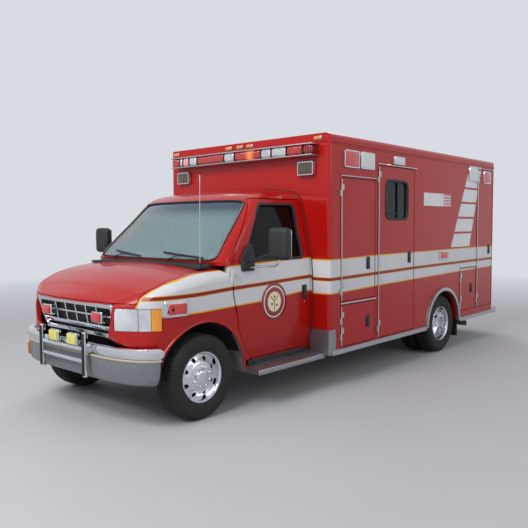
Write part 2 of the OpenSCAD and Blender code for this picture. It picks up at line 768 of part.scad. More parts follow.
// The rear doors' pins stand behind the outer edges of the doorway
rear_hinge_y = rear_door_w + 5;
module rear_hinge_place(s) {
    mirror([0, s > 0 ? 0 : 1, 0]) translate([box_rear - hinge_out, rear_hinge_y, 0])
        rotate([0, 0, 90]) children();
}
module box_rear_wall() {
    color("silver") car() for (s = [LEFT, RIGHT]) rear_hinge_place(s)
        for (z = hinge_heights(floor_z, rear_door_top)) hinge_fixed(z);
    color("firebrick") car() difference() {
        block([box_rear + wall, -inner, box_bottom], [box_rear, inner, wall_top]);
        block([box_rear + wall + 1, -frame_y - 40, 0], [box_rear - 1, frame_y + 40, floor_z - floor_t]);
        block([box_rear + wall + 1, -rear_door_w - 10, floor_z],
            [box_rear - 1, rear_door_w + 10, rear_door_top + door_gap]);
    }
}
module box_roof() {
    color("firebrick") car() intersection() {
        box_body();
        block([box_front, -half, wall_top], [box_rear, half, box_top]);
    }
}
arch_box_x = rear_arch_r + 10;
arch_box_y = rear_inner - tire_w / 2 - 45;
arch_box_z = axle_z + rear_arch_r + 12;
SILLS = [-1700, -2900, -3400, -4700, -5500];
module box_floor() {
    color("gray") car() {
        difference() {
            union() {
                block([box_front - wall, -inner, floor_z - floor_t], [box_rear + wall, inner, floor_z]);
                both() block([-wheelbase + arch_box_x, arch_box_y, floor_z - 1],
                    [-wheelbase - arch_box_x, inner, arch_box_z]);
            }
            both() block([-wheelbase + arch_box_x - 12, arch_box_y + 12, 0],
                [-wheelbase - arch_box_x + 12, inner + 1, arch_box_z - 12]);
            step_well();
            for (i = [0:len(LOCKERS) - 1]) locker_space(i, sheet + 2, 1);
        }
        for (x = SILLS) block([x, -frame_y - 60, frame_top], [x - 60, frame_y + 60, floor_z - floor_t]);
    }
}
// Pan under the floor that the foot stands in behind the side entry door
module step_well() {
    block([entry_front, inner - 320, entry_bottom],
        [entry_front - entry_w, inner + 1, floor_z + 1]);
}
module entry_step() {
    color("gray") car() difference() {
        block([entry_front + 10, inner - 330, entry_bottom - 8],
            [entry_front - entry_w - 10, inner, floor_z - floor_t]);
        step_well();
    }
}
bench_z = 1120;
bench_x = [-2900, -4600];
module cabinets() {
    color("gainsboro") car() {
        for (i = [0:len(LOCKERS) - 1]) difference() {
            locker_space(i, sheet, 0);
            locker_space(i, 0, 1);
        }
        difference() {
            block([bench_x[0], -inner, floor_z], [bench_x[1], -inner + 560, bench_z]);
            block([bench_x[0] - 20, -inner - 1, floor_z - 1], [bench_x[1] + 20, -inner + 540, bench_z - 20]);
        }
        for (s = [LEFT, RIGHT]) difference() {
            block([-3450, s * (inner), 1650], [-4450, s * (inner - 340), 2380]);
            block([-3470, s * (inner - 20), 1670], [-4430, s * (inner - 341), 2360]);
        }
    }
}
module bench_seat() {
    color("slategray") car() {
        block([bench_x[0] - 10, -inner + 10, bench_z + seat_gap],
            [bench_x[1] + 10, -inner + 550, bench_z + 90]);
        block([bench_x[0] - 10, -inner + seat_gap, bench_z + 100],
            [bench_x[1] + 10, -inner + 60, 1580]);
    }
}
bar_low = 2364;
bar_high = 2492;
bar_d = 130;
module light_bar() {
    color("crimson") car() intersection() {
        translate([0, 0, bar_low]) linear_extrude(bar_high - bar_low)
            rounded(box_front - 60, box_front + bar_d, -1080, 1080, 40);
        block([box_front, -half, 0], [box_front + bar_d, half, box_top]);
    }
}
// Lamps on the walls: face, place along the face, height of the middle, width, height
FRONT_FACE = 0;
SIDE_FACE = 1;
REAR_FACE = 2;
LAMPS = [
    [FRONT_FACE, 946, 2246, 205, 140],
    [SIDE_FACE, 367, 2350, 275, 182],
    [SIDE_FACE, 664, 2352, 275, 182],
    [SIDE_FACE, 1334, 2402, 245, 92],
    [SIDE_FACE, 2507, 1270, 250, 110],
    [SIDE_FACE, 3380, 2362, 280, 186],
    [REAR_FACE, 900, 2420, 275, 150],
    [REAR_FACE, 900, 1000, 240, 150],
    [REAR_FACE, 900, 820, 240, 150]];
lamp_out = 28;
module box_lamps() {
    color("whitesmoke") car() for (l = LAMPS) both() {
        if (l[0] == FRONT_FACE)
            block([box_front, l[1] - l[3] / 2, l[2] - l[4] / 2],
                [box_front + 60, l[1] + l[3] / 2, l[2] + l[4] / 2]);
        if (l[0] == SIDE_FACE)
            block([box_front - l[1] + l[3] / 2, half, l[2] - l[4] / 2],
                [box_front - l[1] - l[3] / 2, half + lamp_out, l[2] + l[4] / 2]);
        if (l[0] == REAR_FACE)
            block([box_rear, l[1] - l[3] / 2, l[2] - l[4] / 2],
                [box_rear - lamp_out, l[1] + l[3] / 2, l[2] + l[4] / 2]);
    }
}
rail_low = 345;
rail_high = 395;
// Rub rails along the skirts and bright half rings over the rear wheels
module skirt_rails() {
    color("silver") car() both() {
        block([box_front - 12, half, rail_low],
            [-wheelbase + rear_arch_r + fenderette_w + 2, half + 30, rail_high]);
        block([-wheelbase - rear_arch_r - fenderette_w - 2, half, rail_low],
            [box_rear - 60, half + 30, rail_high]);
        difference() {
            rod_y(-wheelbase, axle_z, rear_arch_r + fenderette_w, half, half + trim_out);
            rod_y(-wheelbase, axle_z, rear_arch_r, half - 1, half + trim_out + 1);
            block([-wheelbase - 600, half - 2, -200], [-wheelbase + 600, half + trim_out + 2, axle_z]);
        }
    }
}
module mud_flaps() {
    color("black") car() both() {
        block([-wheelbase - arch_box_x - 20, arch_box_y, 145],
            [-wheelbase - arch_box_x - 30, inner - 2, floor_z - floor_t]);
        block([-wheelbase - arch_box_x - 20, inner - 3, 145],
            [-wheelbase - arch_box_x - 30, half - 10, box_bottom - 5]);
    }
}
module rear_step() {
    color("lightgray") car() {
        block([box_rear, -step_w / 2, step_z - 55], [rear_end, step_w / 2, step_z + 30]);
        both() block([rail_rear + 60, frame_y - 24, step_z - 30],
            [rear_end + 60, frame_y + 24, step_z + 20]);
        both() block([rail_rear + 60, frame_y - 24, step_z - 30],
            [rail_rear + 10, frame_y + 24, frame_top - frame_h]);
    }
}

// ---------- box doors ----------
module locker_door(i) {
    l = LOCKERS[i];
    color("silver") car() mirror([0, l[0] > 0 ? 0 : 1, 0])
        translate([l[1] + door_gap / 2, half + hinge_out, 0])
            for (z = hinge_heights(l[3], l[4])) hinge_moving(z);
    color("firebrick") car() intersection() {
        box_body();
        block([l[1], l[0] * (half - wall + 5), l[3]], [l[1] - l[2], l[0] * half, l[4]]);
    }
}
module locker_door_front_upper() { locker_door(FRONT_UPPER); }
module locker_door_front_lower() { locker_door(FRONT_LOWER); }
module locker_door_rear_lower() { locker_door(REAR_LOWER); }
module locker_door_rear_tall() { locker_door(REAR_TALL); }
module locker_door_right_front() { locker_door(RIGHT_FRONT); }
module locker_door_right_rear() { locker_door(RIGHT_REAR); }

// Window of the entry door: from the door's front edge, width, bottom, top
entry_window = [146, 508, 1726, 2178];
module entry_window_area(in) {
    rounded(entry_front - entry_window[0] - entry_window[1] + in, entry_front - entry_window[0] - in,
        entry_window[2] + in, entry_window[3] - in, 90);
}
module side_entry_door() {
    car() {
        color("silver") translate([entry_front + door_gap / 2, half + hinge_out, 0])
            for (z = hinge_heights(entry_bottom, entry_top)) hinge_moving(z);
        color("firebrick") difference() {
            block([entry_front, inner + 5, entry_bottom], [entry_front - entry_w, half, entry_top]);
            side_prism(inner, half + 1) entry_window_area(0);
        }
        color("slategray") side_prism(half - 25, half - 25 + glass_t) entry_window_area(seat_gap);
    }
}
rear_window_z = [1740, 1740 + rear_window];
module rear_window_area(in) {
    rounded(rear_door_w / 2 - rear_window / 2 + in, rear_door_w / 2 + rear_window / 2 - in,
        rear_window_z[0] + in, rear_window_z[1] - in, 60);
}
module rear_door(s) {
    car() rear_hinge_place(s) for (z = hinge_heights(floor_z, rear_door_top)) hinge_moving(z);
    car() mirror([0, s > 0 ? 0 : 1, 0]) {
        color("firebrick") difference() {
            block([box_rear + wall - 5, 4, floor_z + door_gap], [box_rear, rear_door_w, rear_door_top]);
            front_prism(box_rear - 1, box_rear + wall) rear_window_area(0);
        }
        color("slategray") front_prism(box_rear + 20, box_rear + 20 + glass_t) rear_window_area(seat_gap);
    }
}
module rear_door_left() { rear_door(LEFT); }
module rear_door_right() { rear_door(RIGHT); }

chassis_frame();
engine_block();
drive_line();
front_axle();
rear_axle();
fuel_tank();
exhaust_pipe();
cab_floor();
cab_shell();
front_fenders();
hood();
grille();
front_lamps();
front_bumper();
grille_guard();
running_boards();
windshield();
dashboard();
steering_wheel();
cab_seats();
cab_door_left();
cab_door_right();
box_floor();
entry_step();
box_front_wall();
box_left_wall();
box_right_wall();
box_rear_wall();
box_roof();
cabinets();
bench_seat();
light_bar();
box_lamps();
skirt_rails();
mud_flaps();
rear_step();
side_entry_door();
rear_door_left();
rear_door_right();
locker_door_front_upper();
locker_door_front_lower();
locker_door_rear_lower();
locker_door_rear_tall();
locker_door_right_front();
locker_door_right_rear();
knuckle_left();
knuckle_right();
front_wheel_left();
front_wheel_right();
rear_wheels_left();
rear_wheels_right();
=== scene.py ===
"""Box ambulance: the finishes and the detailed pieces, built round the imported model."""

import math

import bmesh
import bpy
import mathutils
import numpy as np
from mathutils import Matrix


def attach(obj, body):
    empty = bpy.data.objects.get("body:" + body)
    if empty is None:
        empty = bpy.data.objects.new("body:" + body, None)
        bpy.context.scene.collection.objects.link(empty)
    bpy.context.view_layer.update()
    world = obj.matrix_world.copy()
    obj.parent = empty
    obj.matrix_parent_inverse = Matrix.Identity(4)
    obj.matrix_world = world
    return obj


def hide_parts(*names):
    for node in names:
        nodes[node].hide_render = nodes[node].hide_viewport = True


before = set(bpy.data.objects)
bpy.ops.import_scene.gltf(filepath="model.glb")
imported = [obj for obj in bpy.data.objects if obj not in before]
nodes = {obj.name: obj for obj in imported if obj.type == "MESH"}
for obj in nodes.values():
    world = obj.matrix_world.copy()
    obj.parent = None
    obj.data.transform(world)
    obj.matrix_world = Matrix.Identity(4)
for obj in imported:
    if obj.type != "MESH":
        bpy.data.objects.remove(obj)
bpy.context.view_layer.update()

# ---------- Red paint with reflective bands ----------
# The body is sprayed bright fire red and lacquered. Along both sides run two white
# reflective bands with a dark red line between them, all edged with gold pinstripes.


class Field:
    """A value over a surface. It holds one node socket, and arithmetic on it adds Math nodes."""

    def __init__(self, tree, socket=None):
        self.tree, self.socket = tree, socket

    def node(self, kind, settings=None, sockets=None, out=0):
        """One shader node: its settings first, a ramp's stops among them, then its sockets."""
        made = self.tree.nodes.new("ShaderNode" + kind)
        for key, value in (settings or {}).items():
            if key == "stops":
                for i, (at, colour) in enumerate(value):
                    stops = made.color_ramp.elements
                    stop = stops[i] if i < 2 else stops.new(at)
                    stop.position, stop.color = at, colour
            else:
                setattr(made, key, value)
        for key, value in (sockets or {}).items():
            if isinstance(value, Field):
                self.tree.links.new(value.socket, made.inputs[key])
            else:
                made.inputs[key].default_value = value
        return Field(self.tree, made.outputs[out])

    def maths(self, operation, *values):
        return self.node("Math", {"operation": operation}, dict(enumerate(values)))

    def __add__(self, other):
        return self.maths("ADD", self, other)

    def __sub__(self, other):
        return self.maths("SUBTRACT", self, other)

    def __rsub__(self, other):
        return self.maths("SUBTRACT", other, self)

    def __mul__(self, other):
        return self.maths("MULTIPLY", self, other)

    def __truediv__(self, other):
        return self.maths("DIVIDE", self, other)

    def __gt__(self, other):
        return self.maths("GREATER_THAN", self, other)

    def __lt__(self, other):
        return self.maths("LESS_THAN", self, other)

    def __abs__(self):
        return self.maths("ABSOLUTE", self)

    __radd__, __rmul__ = __add__, __mul__

    def sine(self):
        return self.maths("SINE", self)

    def either(self, other):
        return self.maths("MAXIMUM", self, other)

    def both(self, other):
        return self.maths("MINIMUM", self, other)

    def steps(self, pitch):
        """Place within a repeat of the given pitch, from 0 to 1."""
        return self.maths("FRACT", self / pitch)

    def mix(self, low, high):
        """The colour low where this is 0 and high where it is 1."""
        return self.node("Mix", {"data_type": "RGBA"}, {0: self, 6: low, 7: high}, out=2)


class Finish:
    """A material being made: one Principled shader, and the place x, y, z in metres."""

    def __init__(self, name, colour, roughness, metallic=0.0, **fixed):
        self.material = bpy.data.materials.new(name)
        self.material.use_nodes = True
        self.tree = self.material.node_tree
        self.shader = self.tree.nodes["Principled BSDF"]
        self.start = Field(self.tree)
        self.place = self.start.node("TexCoord", out="Object")
        self.x, self.y, self.z = (self.start.node("SeparateXYZ", None, {0: self.place}, out=i)
                                  for i in range(3))
        self.put("Base Color", colour)
        self.put("Roughness", roughness)
        self.put("Metallic", metallic)
        for key, value in fixed.items():
            self.put(key.replace("_", " "), value)

    def put(self, socket, value):
        if isinstance(value, Field):
            self.tree.links.new(value.socket, self.shader.inputs[socket])
        else:
            self.shader.inputs[socket].default_value = value
        return self

    def noise(self, scale, detail=3.0):
        return self.start.node("TexNoise", None, {"Vector": self.place, "Scale": scale,
                                                  "Detail": detail})

    def grain(self, low, high, scale):
        """Colour that wanders between two tones."""
        return self.put("Base Color", self.noise(scale).mix(low, high))

    def bump(self, height, depth):
        """Relief of the given depth in metres."""
        return self.put("Normal", self.start.node("Bump", None, {"Height": height,
                                                                 "Distance": depth}))

    def cover(self, *names):
        """Gives this finish to CAD nodes that stay in view."""
        for name in names:
            nodes[name].data.materials.clear()
            nodes[name].data.materials.append(self.material)
        return self


def tone(code):
    """Linear colour of a six-digit sRGB code."""
    parts = [int(code[i:i + 2], 16) / 255 for i in (0, 2, 4)]
    return (*(c / 12.92 if c < 0.04 else ((c + 0.055) / 1.055) ** 2.4 for c in parts), 1.0)


AXLE = 2.593                            # the front axle's place along the frame, in metres
RED = tone("AA0B08")
DEEP_RED = tone("86090A")
WHITE = tone("DADADC")
GOLD = tone("D9A520")


def drawn_line(x, points):
    """Height over x of a line of straight stretches, through (x, z) in mm from the axle."""
    low, high = points[0][0], points[-1][0]
    stops = [((px - low) / (high - low), (pz / 2000,) * 3 + (1,)) for px, pz in points]
    share = (x - (AXLE + low / 1000)) / ((high - low) / 1000)
    return share.node("ValToRGB", {"stops": stops}, {0: share}) * 2


BAND_TOP = [(-5700, 1344), (-2400, 1331), (-1700, 1318), (-1500, 1316), (-1480, 1336),
            (-1305, 1335), (-327, 1304), (-27, 1276), (98, 1248), (366, 1182), (469, 1132),
            (540, 1102), (575, 1084)]
BAND_MIDDLE = [(-5700, 1163), (-3247, 1146), (-2411, 1132), (-1714, 1121), (-1500, 1119),
               (-1480, 1149), (-735, 1121), (-325, 1109), (101, 1087), (575, 1080)]
BAND_FOOT = [(-5700, 1047), (-4503, 1034), (-3251, 1012), (-2400, 996), (-1715, 977),
             (-1500, 972), (-1480, 1008), (-1304, 1006), (-706, 963), (47, 937), (575, 928)]


BAND_EDGE = [(-5700, 0), (-345, 0), (-335, 925), (-60, 915), (235, 900), (400, 872),
             (480, 846), (560, 802), (575, 792)]


def red_paint(name, banded=True, inboard=0.0, artwork=None):
    """Lacquered red. Bands are drawn only further out than inboard, where that is above 0, and
    artwork adds to the colour last."""
    paint = Finish(name, RED, 0.33, Coat_Weight=0.45, Coat_Roughness=0.04,
                   Specular_IOR_Level=0.2)
    speckle = paint.noise(9.0)
    colour = speckle.mix(tone("A60A07"), tone("B00D09"))
    if banded:
        top, middle, foot = (drawn_line(paint.x, line)
                             for line in (BAND_TOP, BAND_MIDDLE, BAND_FOOT))
        between = (paint.z < top).both(paint.z > foot)
        sheet = (paint.noise(2.5).mix(tone("C6C6C9"), tone("D6D6D8")))
        from_middle = abs(paint.z - middle)
        edges = (abs(paint.z - top) < 0.0065).either(abs(paint.z - foot) < 0.0065)
        gold = edges.either((from_middle < 0.021).both(from_middle > 0.0145))
        where = paint.x < AXLE + 0.572
        if inboard:
            outside = abs(paint.y) - drawn_line(paint.x, BAND_EDGE)
            where = where.both(abs(paint.y) > inboard).both(outside > 0)
            on_fender = (outside < 0.010).both(paint.x > AXLE - 0.335)
            gold = gold.either(on_fender.both(between))
        colour = between.both(where).mix(colour, sheet)
        colour = (from_middle < 0.018).both(where).mix(colour, DEEP_RED)
        colour = gold.both(where).mix(colour, GOLD)
    if artwork:
        colour = artwork(paint, colour)
    paint.put("Base Color", colour)
    paint.put("Roughness", speckle * 0.06 + 0.3)
    return paint.bump(paint.noise(1.6), 0.0006)


plain_red = red_paint("plain_red_paint", banded=False)
cab_red = red_paint("cab_red_paint", inboard=0.80)
box_red = red_paint("box_red_paint")
plain_red.cover("box_roof")
box_red.cover("box_front_wall", "box_rear_wall", "box_right_wall", "rear_door_left",
              "rear_door_right", "locker_door_right_front", "locker_door_right_rear")

# ---------- Nose: fenders and hood ----------
# Pressed steel panels. The two fenders and the apron are one pressing round the wheels, and
# the hood is hinged under the cowl and closes on a lip above the grille.


def place(points):
    """Millimetres from the front axle to metres in the frame."""
    return np.asarray(points, float) / 1000 + (AXLE, 0, 0)


def between_rows(at, rows):
    """Smooth values between table rows, by cubic pieces whose slopes never overshoot."""
    rows = np.asarray(rows, float)
    key, values = rows[:, 0], rows[:, 1:]
    step = np.diff(key)[:, None]
    slope = np.diff(values, axis=0) / step
    inner = np.where(slope[1:] * slope[:-1] > 0,
                     2 * slope[1:] * slope[:-1] / (slope[1:] + slope[:-1] + 1e-12), 0)
    slopes = np.vstack([slope[:1], inner, slope[-1:]])
    i = np.clip(np.searchsorted(key, at, side="right") - 1, 0, len(key) - 2)
    h, t = step[i], ((at - key[i])[:, None] / step[i])
    return ((1 + 2 * t) * (1 - t) ** 2 * values[i] + t * (1 - t) ** 2 * h * slopes[i]
            + t * t * (3 - 2 * t) * values[i + 1] + t * t * (t - 1) * h * slopes[i + 1])


def grid_faces(rows, columns, wrap=False):
    """Quads between neighbouring points of a grid, closed across the columns where wrap."""
    i, j = np.meshgrid(np.arange(rows - 1), np.arange(columns - (not wrap)), indexing="ij")
    k = (j + 1) % columns
    corners = [i * columns + j, i * columns + k, (i + 1) * columns + k, (i + 1) * columns + j]
    return np.stack(corners, -1).reshape(-1, 4).tolist()


def skin(rings):
    """A closed solid through a row of closed rings of points, with both ends capped."""
    rings = np.asarray(rings, float)
    rows, columns = rings.shape[:2]
    last = (rows - 1) * columns
    caps = [list(range(columns))[::-1], list(range(last, last + columns))]
    return rings.reshape(-1, 3), grid_faces(rows, columns, wrap=True) + caps


def prism(outline, low, high, along="y"):
    """A flat outline given depth: (x, z) along y, (y, z) along x, or (x, y) along z."""
    flat = np.asarray(outline, float)
    order = {"y": [0, 2, 1], "x": [2, 0, 1], "z": [0, 1, 2]}[along]
    return skin([np.column_stack([flat, np.full(len(flat), depth)])[:, order]
                 for depth in (low, high)])


def grown(outline, by):
    """An outline moved outwards by a distance, each corner along its two edges' normals."""
    p = np.asarray(outline, float)
    area = np.sum(p[:, 0] * np.roll(p[:, 1], -1) - p[:, 1] * np.roll(p[:, 0], -1))
    edge = np.roll(p, -1, axis=0) - p
    out = np.column_stack([edge[:, 1], -edge[:, 0]]) * np.sign(area)
    out /= np.linalg.norm(out, axis=1)[:, None]
    joint = out + np.roll(out, 1, axis=0)
    return p + by * 2 * joint / np.sum(joint * joint, axis=1)[:, None]


def flipped(shape):
    """The same shape on the vehicle's other side."""
    points, faces = shape
    return points * (1, -1, 1), [face[::-1] for face in faces]


def new_mesh(name, shapes):
    """One mesh of several shapes, welded, with its faces pointing outwards."""
    points = np.vstack([s[0] for s in shapes])
    starts = np.cumsum([0] + [len(s[0]) for s in shapes[:-1]])
    faces = [[start + i for i in face] for (_, fs), start in zip(shapes, starts) for face in fs]
    mesh = bpy.data.meshes.new(name)
    mesh.from_pydata(place(points), [], faces)
    tidy = bmesh.new()
    tidy.from_mesh(mesh)
    bmesh.ops.remove_doubles(tidy, verts=tidy.verts, dist=2e-5)
    bmesh.ops.recalc_face_normals(tidy, faces=tidy.faces)
    tidy.to_mesh(mesh)
    tidy.free()
    return mesh


def carve(shape, cutters, keep="DIFFERENCE", solver="EXACT"):
    """Cuts shapes out of a closed shape, or keeps only what lies in the first cutter."""
    things = []
    for i, part in enumerate([shape, *cutters]):
        thing = bpy.data.objects.new(f"blank{i}", new_mesh(f"blank{i}", [part]))
        bpy.context.scene.collection.objects.link(thing)
        things.append(thing)
    for i, cutter in enumerate(things[1:]):
        cut = things[0].modifiers.new("cut", "BOOLEAN")
        cut.object, cut.solver = cutter, solver
        cut.operation = keep if i == 0 else "DIFFERENCE"
    bpy.context.view_layer.update()
    result = things[0].evaluated_get(bpy.context.evaluated_depsgraph_get()).to_mesh()
    points = np.array([v.co for v in result.vertices]).reshape(-1, 3)
    faces = [list(p.vertices) for p in result.polygons]
    for thing in things:
        mesh = thing.data
        bpy.data.objects.remove(thing)
        bpy.data.meshes.remove(mesh)
    return (points - (AXLE, 0, 0)) * 1000, faces


def piece(name, shapes, finish, body="vehicle", replaces=(), crease=32):
    """Makes one visible piece of the given shapes, smooth but for edges sharper than crease."""
    thing = bpy.data.objects.new(name, new_mesh(name, shapes))
    bpy.context.scene.collection.objects.link(thing)
    thing.data.shade_smooth()
    thing.data.set_sharp_from_angle(angle=math.radians(crease))
    thing.data.materials.append(finish.material)
    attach(thing, body)
    if replaces:
        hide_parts(*replaces)
    return thing


# Upright sections of the nose: x, half width, top of the flank, crown, underside
NOSE = [(-560, 1003, 1180, 1345, 430), (-75, 1003, 1165, 1322, 536),
        (235, 985, 1130, 1272, 606), (430, 940, 1075, 1205, 650),
        (500, 890, 1040, 1175, 666), (550, 820, 1005, 1145, 680),
        (600, 745, 975, 1115, 694), (665, 615, 930, 1075, 780), (690, 480, 930, 1050, 880)]
SHOULDER = 150


def nose_solid(inset):
    """The nose as one solid. Each section rises up a flank, turns over a quarter-ellipse
    shoulder and crowns to the middle along a parabola; inset moves it inwards all round."""
    x = np.concatenate([np.linspace(-560, 400, 26), np.linspace(425, 690, 26)])
    width, flank, crown, low = between_rows(x, NOSE).T
    width, flank, crown = width - inset, flank - inset, crown - inset
    low = low - (60 if inset else 0)
    u = np.linspace(0, 1, 9)[:-1]
    a = np.linspace(0, math.pi / 2, 13)[:-1]
    v = np.linspace(0, 1, 16)
    y = np.concatenate([width[:, None] - 12 * (1 - u) ** 2,
                        width[:, None] - SHOULDER * (1 - np.cos(a)),
                        (width[:, None] - SHOULDER) * (1 - v)], axis=1)
    z = np.concatenate([low[:, None] + (flank - low)[:, None] * u,
                        flank[:, None] + (crown - 45 - flank)[:, None] * np.sin(a),
                        crown[:, None] - 45 * (1 - v) ** 2], axis=1)
    ring = np.stack([np.broadcast_to(x[:, None] - inset, y.shape), y, z], axis=-1)
    return skin(np.concatenate([ring, ring[:, -2::-1] * (1, -1, 1)], axis=1))


DOOR_GAP = 8
DOOR_OUTLINE = [(-334, 1346), (-815, 1925), (-1428, 1925), (-1462, 1330), (-1462, 620),
                (-1438, 510), (-1362, 432), (-575, 432), (-500, 560), (-428, 727), (-362, 1080)]
HOOD_OUTLINE = [(-72, -845), (-72, 845), (420, 838), (560, 800), (900, 700), (900, -700),
                (560, -800), (420, -838)]
HOOD_LIP = 1042
LAMP_LOW, LAMP_HIGH, LAMP_INNER, LAMP_END = 815, 1003, 632, 405
ARCH = 480
GRILLE_OUTLINE = [(-610, 1030), (610, 1030), (604, 900), (572, 795), (515, 724), (-515, 724),
                  (-572, 795), (-604, 900)]


def block(low, high):
    """A box between two corners, used as a cutter."""
    (x0, y0, z0), (x1, y1, z1) = low, high
    return prism([(x0, y0), (x1, y0), (x1, y1), (x0, y1)], z0, z1, "z")


def leaned(shape):
    """Tips the grille back by ten degrees about its upper edge."""
    points, faces = shape
    c, s = math.cos(math.radians(10)), math.sin(math.radians(10))
    x, y, z = points[:, 0] , points[:, 1], points[:, 2] - 1030
    return np.column_stack([650 + x * c + z * s, y, 1030 + z * c - x * s]), faces


def turned(profile, centre, count=64, axis="y"):
    """A profile of (radius, height) points turned round an axis through a centre, as a closed
    ring of sections, so profile must itself be closed."""
    profile = np.asarray(profile, float)
    angle = np.linspace(0, 2 * math.pi, count, endpoint=False)[:, None]
    r, h = profile[:, 0][None], np.broadcast_to(profile[:, 1][None], (count, len(profile)))
    c, s = r * np.cos(angle), r * np.sin(angle)
    order = {"x": (h, c, s), "y": (c, h, s), "z": (c, s, h)}[axis]
    points = (np.stack(order, -1) + np.asarray(centre, float)).reshape(-1, 3)
    faces = grid_faces(count + 1, len(profile), wrap=True)
    total = count * len(profile)
    return points, [[i % total for i in face] for face in faces]


def drum(radius, low, high, centre, axis="y", count=64):
    """A plain cylinder, used as a cutter."""
    return turned([(0, low), (radius, low), (radius, high), (0, high)], centre, count, axis)




def cab_sections():
    """Cab outline at many heights: height, windscreen middle x, corner x, corner y, start of
    the flank x, flank y, rear y. The screen leans back in a straight line and the roof domes."""
    lower = [(415, -572, -572, 945, -600, 950, 950), (560, -492, -492, 975, -520, 984, 984),
             (700, -434, -434, 990, -460, 1003, 1003), (880, -382, -382, 992, -410, 1008, 1009),
             (1080, -330, -330, 990, -360, 1006, 1007), (1345, -130, -235, 900, -400, 975, 992)]
    upper = [(1345, -130, -235, 900, -400, 975, 992), (1500, -264, -378, 862, -514, 946, 962),
             (1700, -446, -584, 807, -677, 903, 921), (1850, -590, -732, 766, -803, 866, 884),
             (1914, -656, -797, 747, -857, 847, 866), (1950, -712, -853, 724, -906, 824, 846),
             (1983, -790, -930, 690, -975, 785, 812), (2010, -890, -1030, 620, -1075, 715, 750),
             (2034, -1000, -1140, 510, -1180, 600, 640),
             (2054, -1110, -1240, 370, -1270, 450, 480),
             (2067, -1270, -1350, 150, -1370, 220, 250)]
    low_z, high_z = np.linspace(415, 1330, 18), np.concatenate(
        [np.linspace(1345, 1914, 16), np.linspace(1925, 2067, 16)])
    return np.vstack([np.column_stack([low_z, between_rows(low_z, lower)]),
                      np.column_stack([high_z, between_rows(high_z, upper)])])


CAB = cab_sections()
CAB_BACK = -1497
CAB_WALL = 70


def cab_solid(inset, back=CAB_BACK, deeper=0):
    """The cab as one solid of level sections: two straight flanks, rounded front corners and a
    bowed front, moved inwards by inset. Below the screen an inset cab is open to the nose."""
    c = CAB.copy()
    top = c[:, 0] > 1914
    c[top, 0] -= (c[top, 0] - 1914) / 153 * (inset * 0.7)
    c[0, 0] -= deeper
    forward = np.where(c[:, 0] < 1344, -20 if inset > 0 else inset, inset * 1.2)[:, None]
    z, mid, corner, corner_y, flank, flank_y, rear_y = (c[:, i:i + 1] for i in range(7))
    corner_y, flank_y, rear_y = corner_y - inset, flank_y - inset, rear_y - inset
    t, u = np.linspace(0, 1, 9)[None], np.linspace(0, 1, 12)[None, :-1]
    bow = np.linspace(1, 0, 13)[None]
    bend_x = flank + 0.7 * (corner - flank)
    side_x = back + (flank - forward * 0.3 - back) * t[:, :-1]
    side_y = rear_y + (flank_y - rear_y) * t[:, :-1]
    turn_x = (1 - u) ** 2 * (flank - forward * 0.3) + 2 * u * (1 - u) * (bend_x - forward * 0.7) \
        + u * u * (corner - forward)
    turn_y = (1 - u) ** 2 * flank_y + 2 * u * (1 - u) * flank_y + u * u * corner_y
    front_x = corner + (mid - corner) * (1 - bow ** 2) - forward
    half = np.stack([np.concatenate([side_x, turn_x, front_x], 1),
                     np.concatenate([side_y, turn_y, corner_y * bow], 1)], -1)
    ring = np.concatenate([half, half[:, -2::-1] * (1, -1)], axis=1)
    return skin(np.concatenate([ring, np.broadcast_to(z[:, :, None], ring.shape[:2] + (1,))], -1))


def screen_point(z, y, inset):
    """Points on the bowed windscreen at a height and a distance from the middle plane."""
    rows = CAB[CAB[:, 0] >= 1345]
    mid, corner, reach = (np.interp(z, rows[:, 0], rows[:, i]) for i in (1, 2, 3))
    return np.stack([corner + (mid - corner) * (1 - (y / reach) ** 2) - inset * 1.2, y, z], -1)


SCREEN_OUTLINE = [(-840, 1362), (840, 1362), (874, 1390), (757, 1865), (725, 1897), (600, 1906),
                  (-600, 1906), (-725, 1897), (-757, 1865), (-874, 1390)]
nose = nose_solid(0)
nose_shell = carve(nose, [nose_solid(28)])
hood_cut = prism(grown(HOOD_OUTLINE, DOOR_GAP - 2), HOOD_LIP - DOOR_GAP + 2, 1600, "z")
arch_hole = drum(ARCH, -1300, 1300, (-20, 0, 370))
fenders = carve(nose_shell, [
    cab_solid(-0.3, deeper=300), prism(grown(DOOR_OUTLINE, DOOR_GAP), 500, 1219),
    prism(grown(DOOR_OUTLINE, DOOR_GAP), -1219, -500), block((-700, -1219, 0), (-559, 1219, 1500)),
    block((-700, -874, 600), (-60, 874, 1500)), hood_cut, arch_hole,
    leaned(prism(grown(GRILLE_OUTLINE, 1), -200, 200, "x")),
    block((LAMP_END, LAMP_INNER, LAMP_LOW), (900, 1010, LAMP_HIGH)),
    block((LAMP_END, -1010, LAMP_LOW), (900, -LAMP_INNER, LAMP_HIGH)),
    block((-700, -820, 300), (560, 820, 690)),
    block((-357, 900, 1210), (-315, 1219, 1281)), block((-357, -1219, 1210), (-315, -900, 1281))])


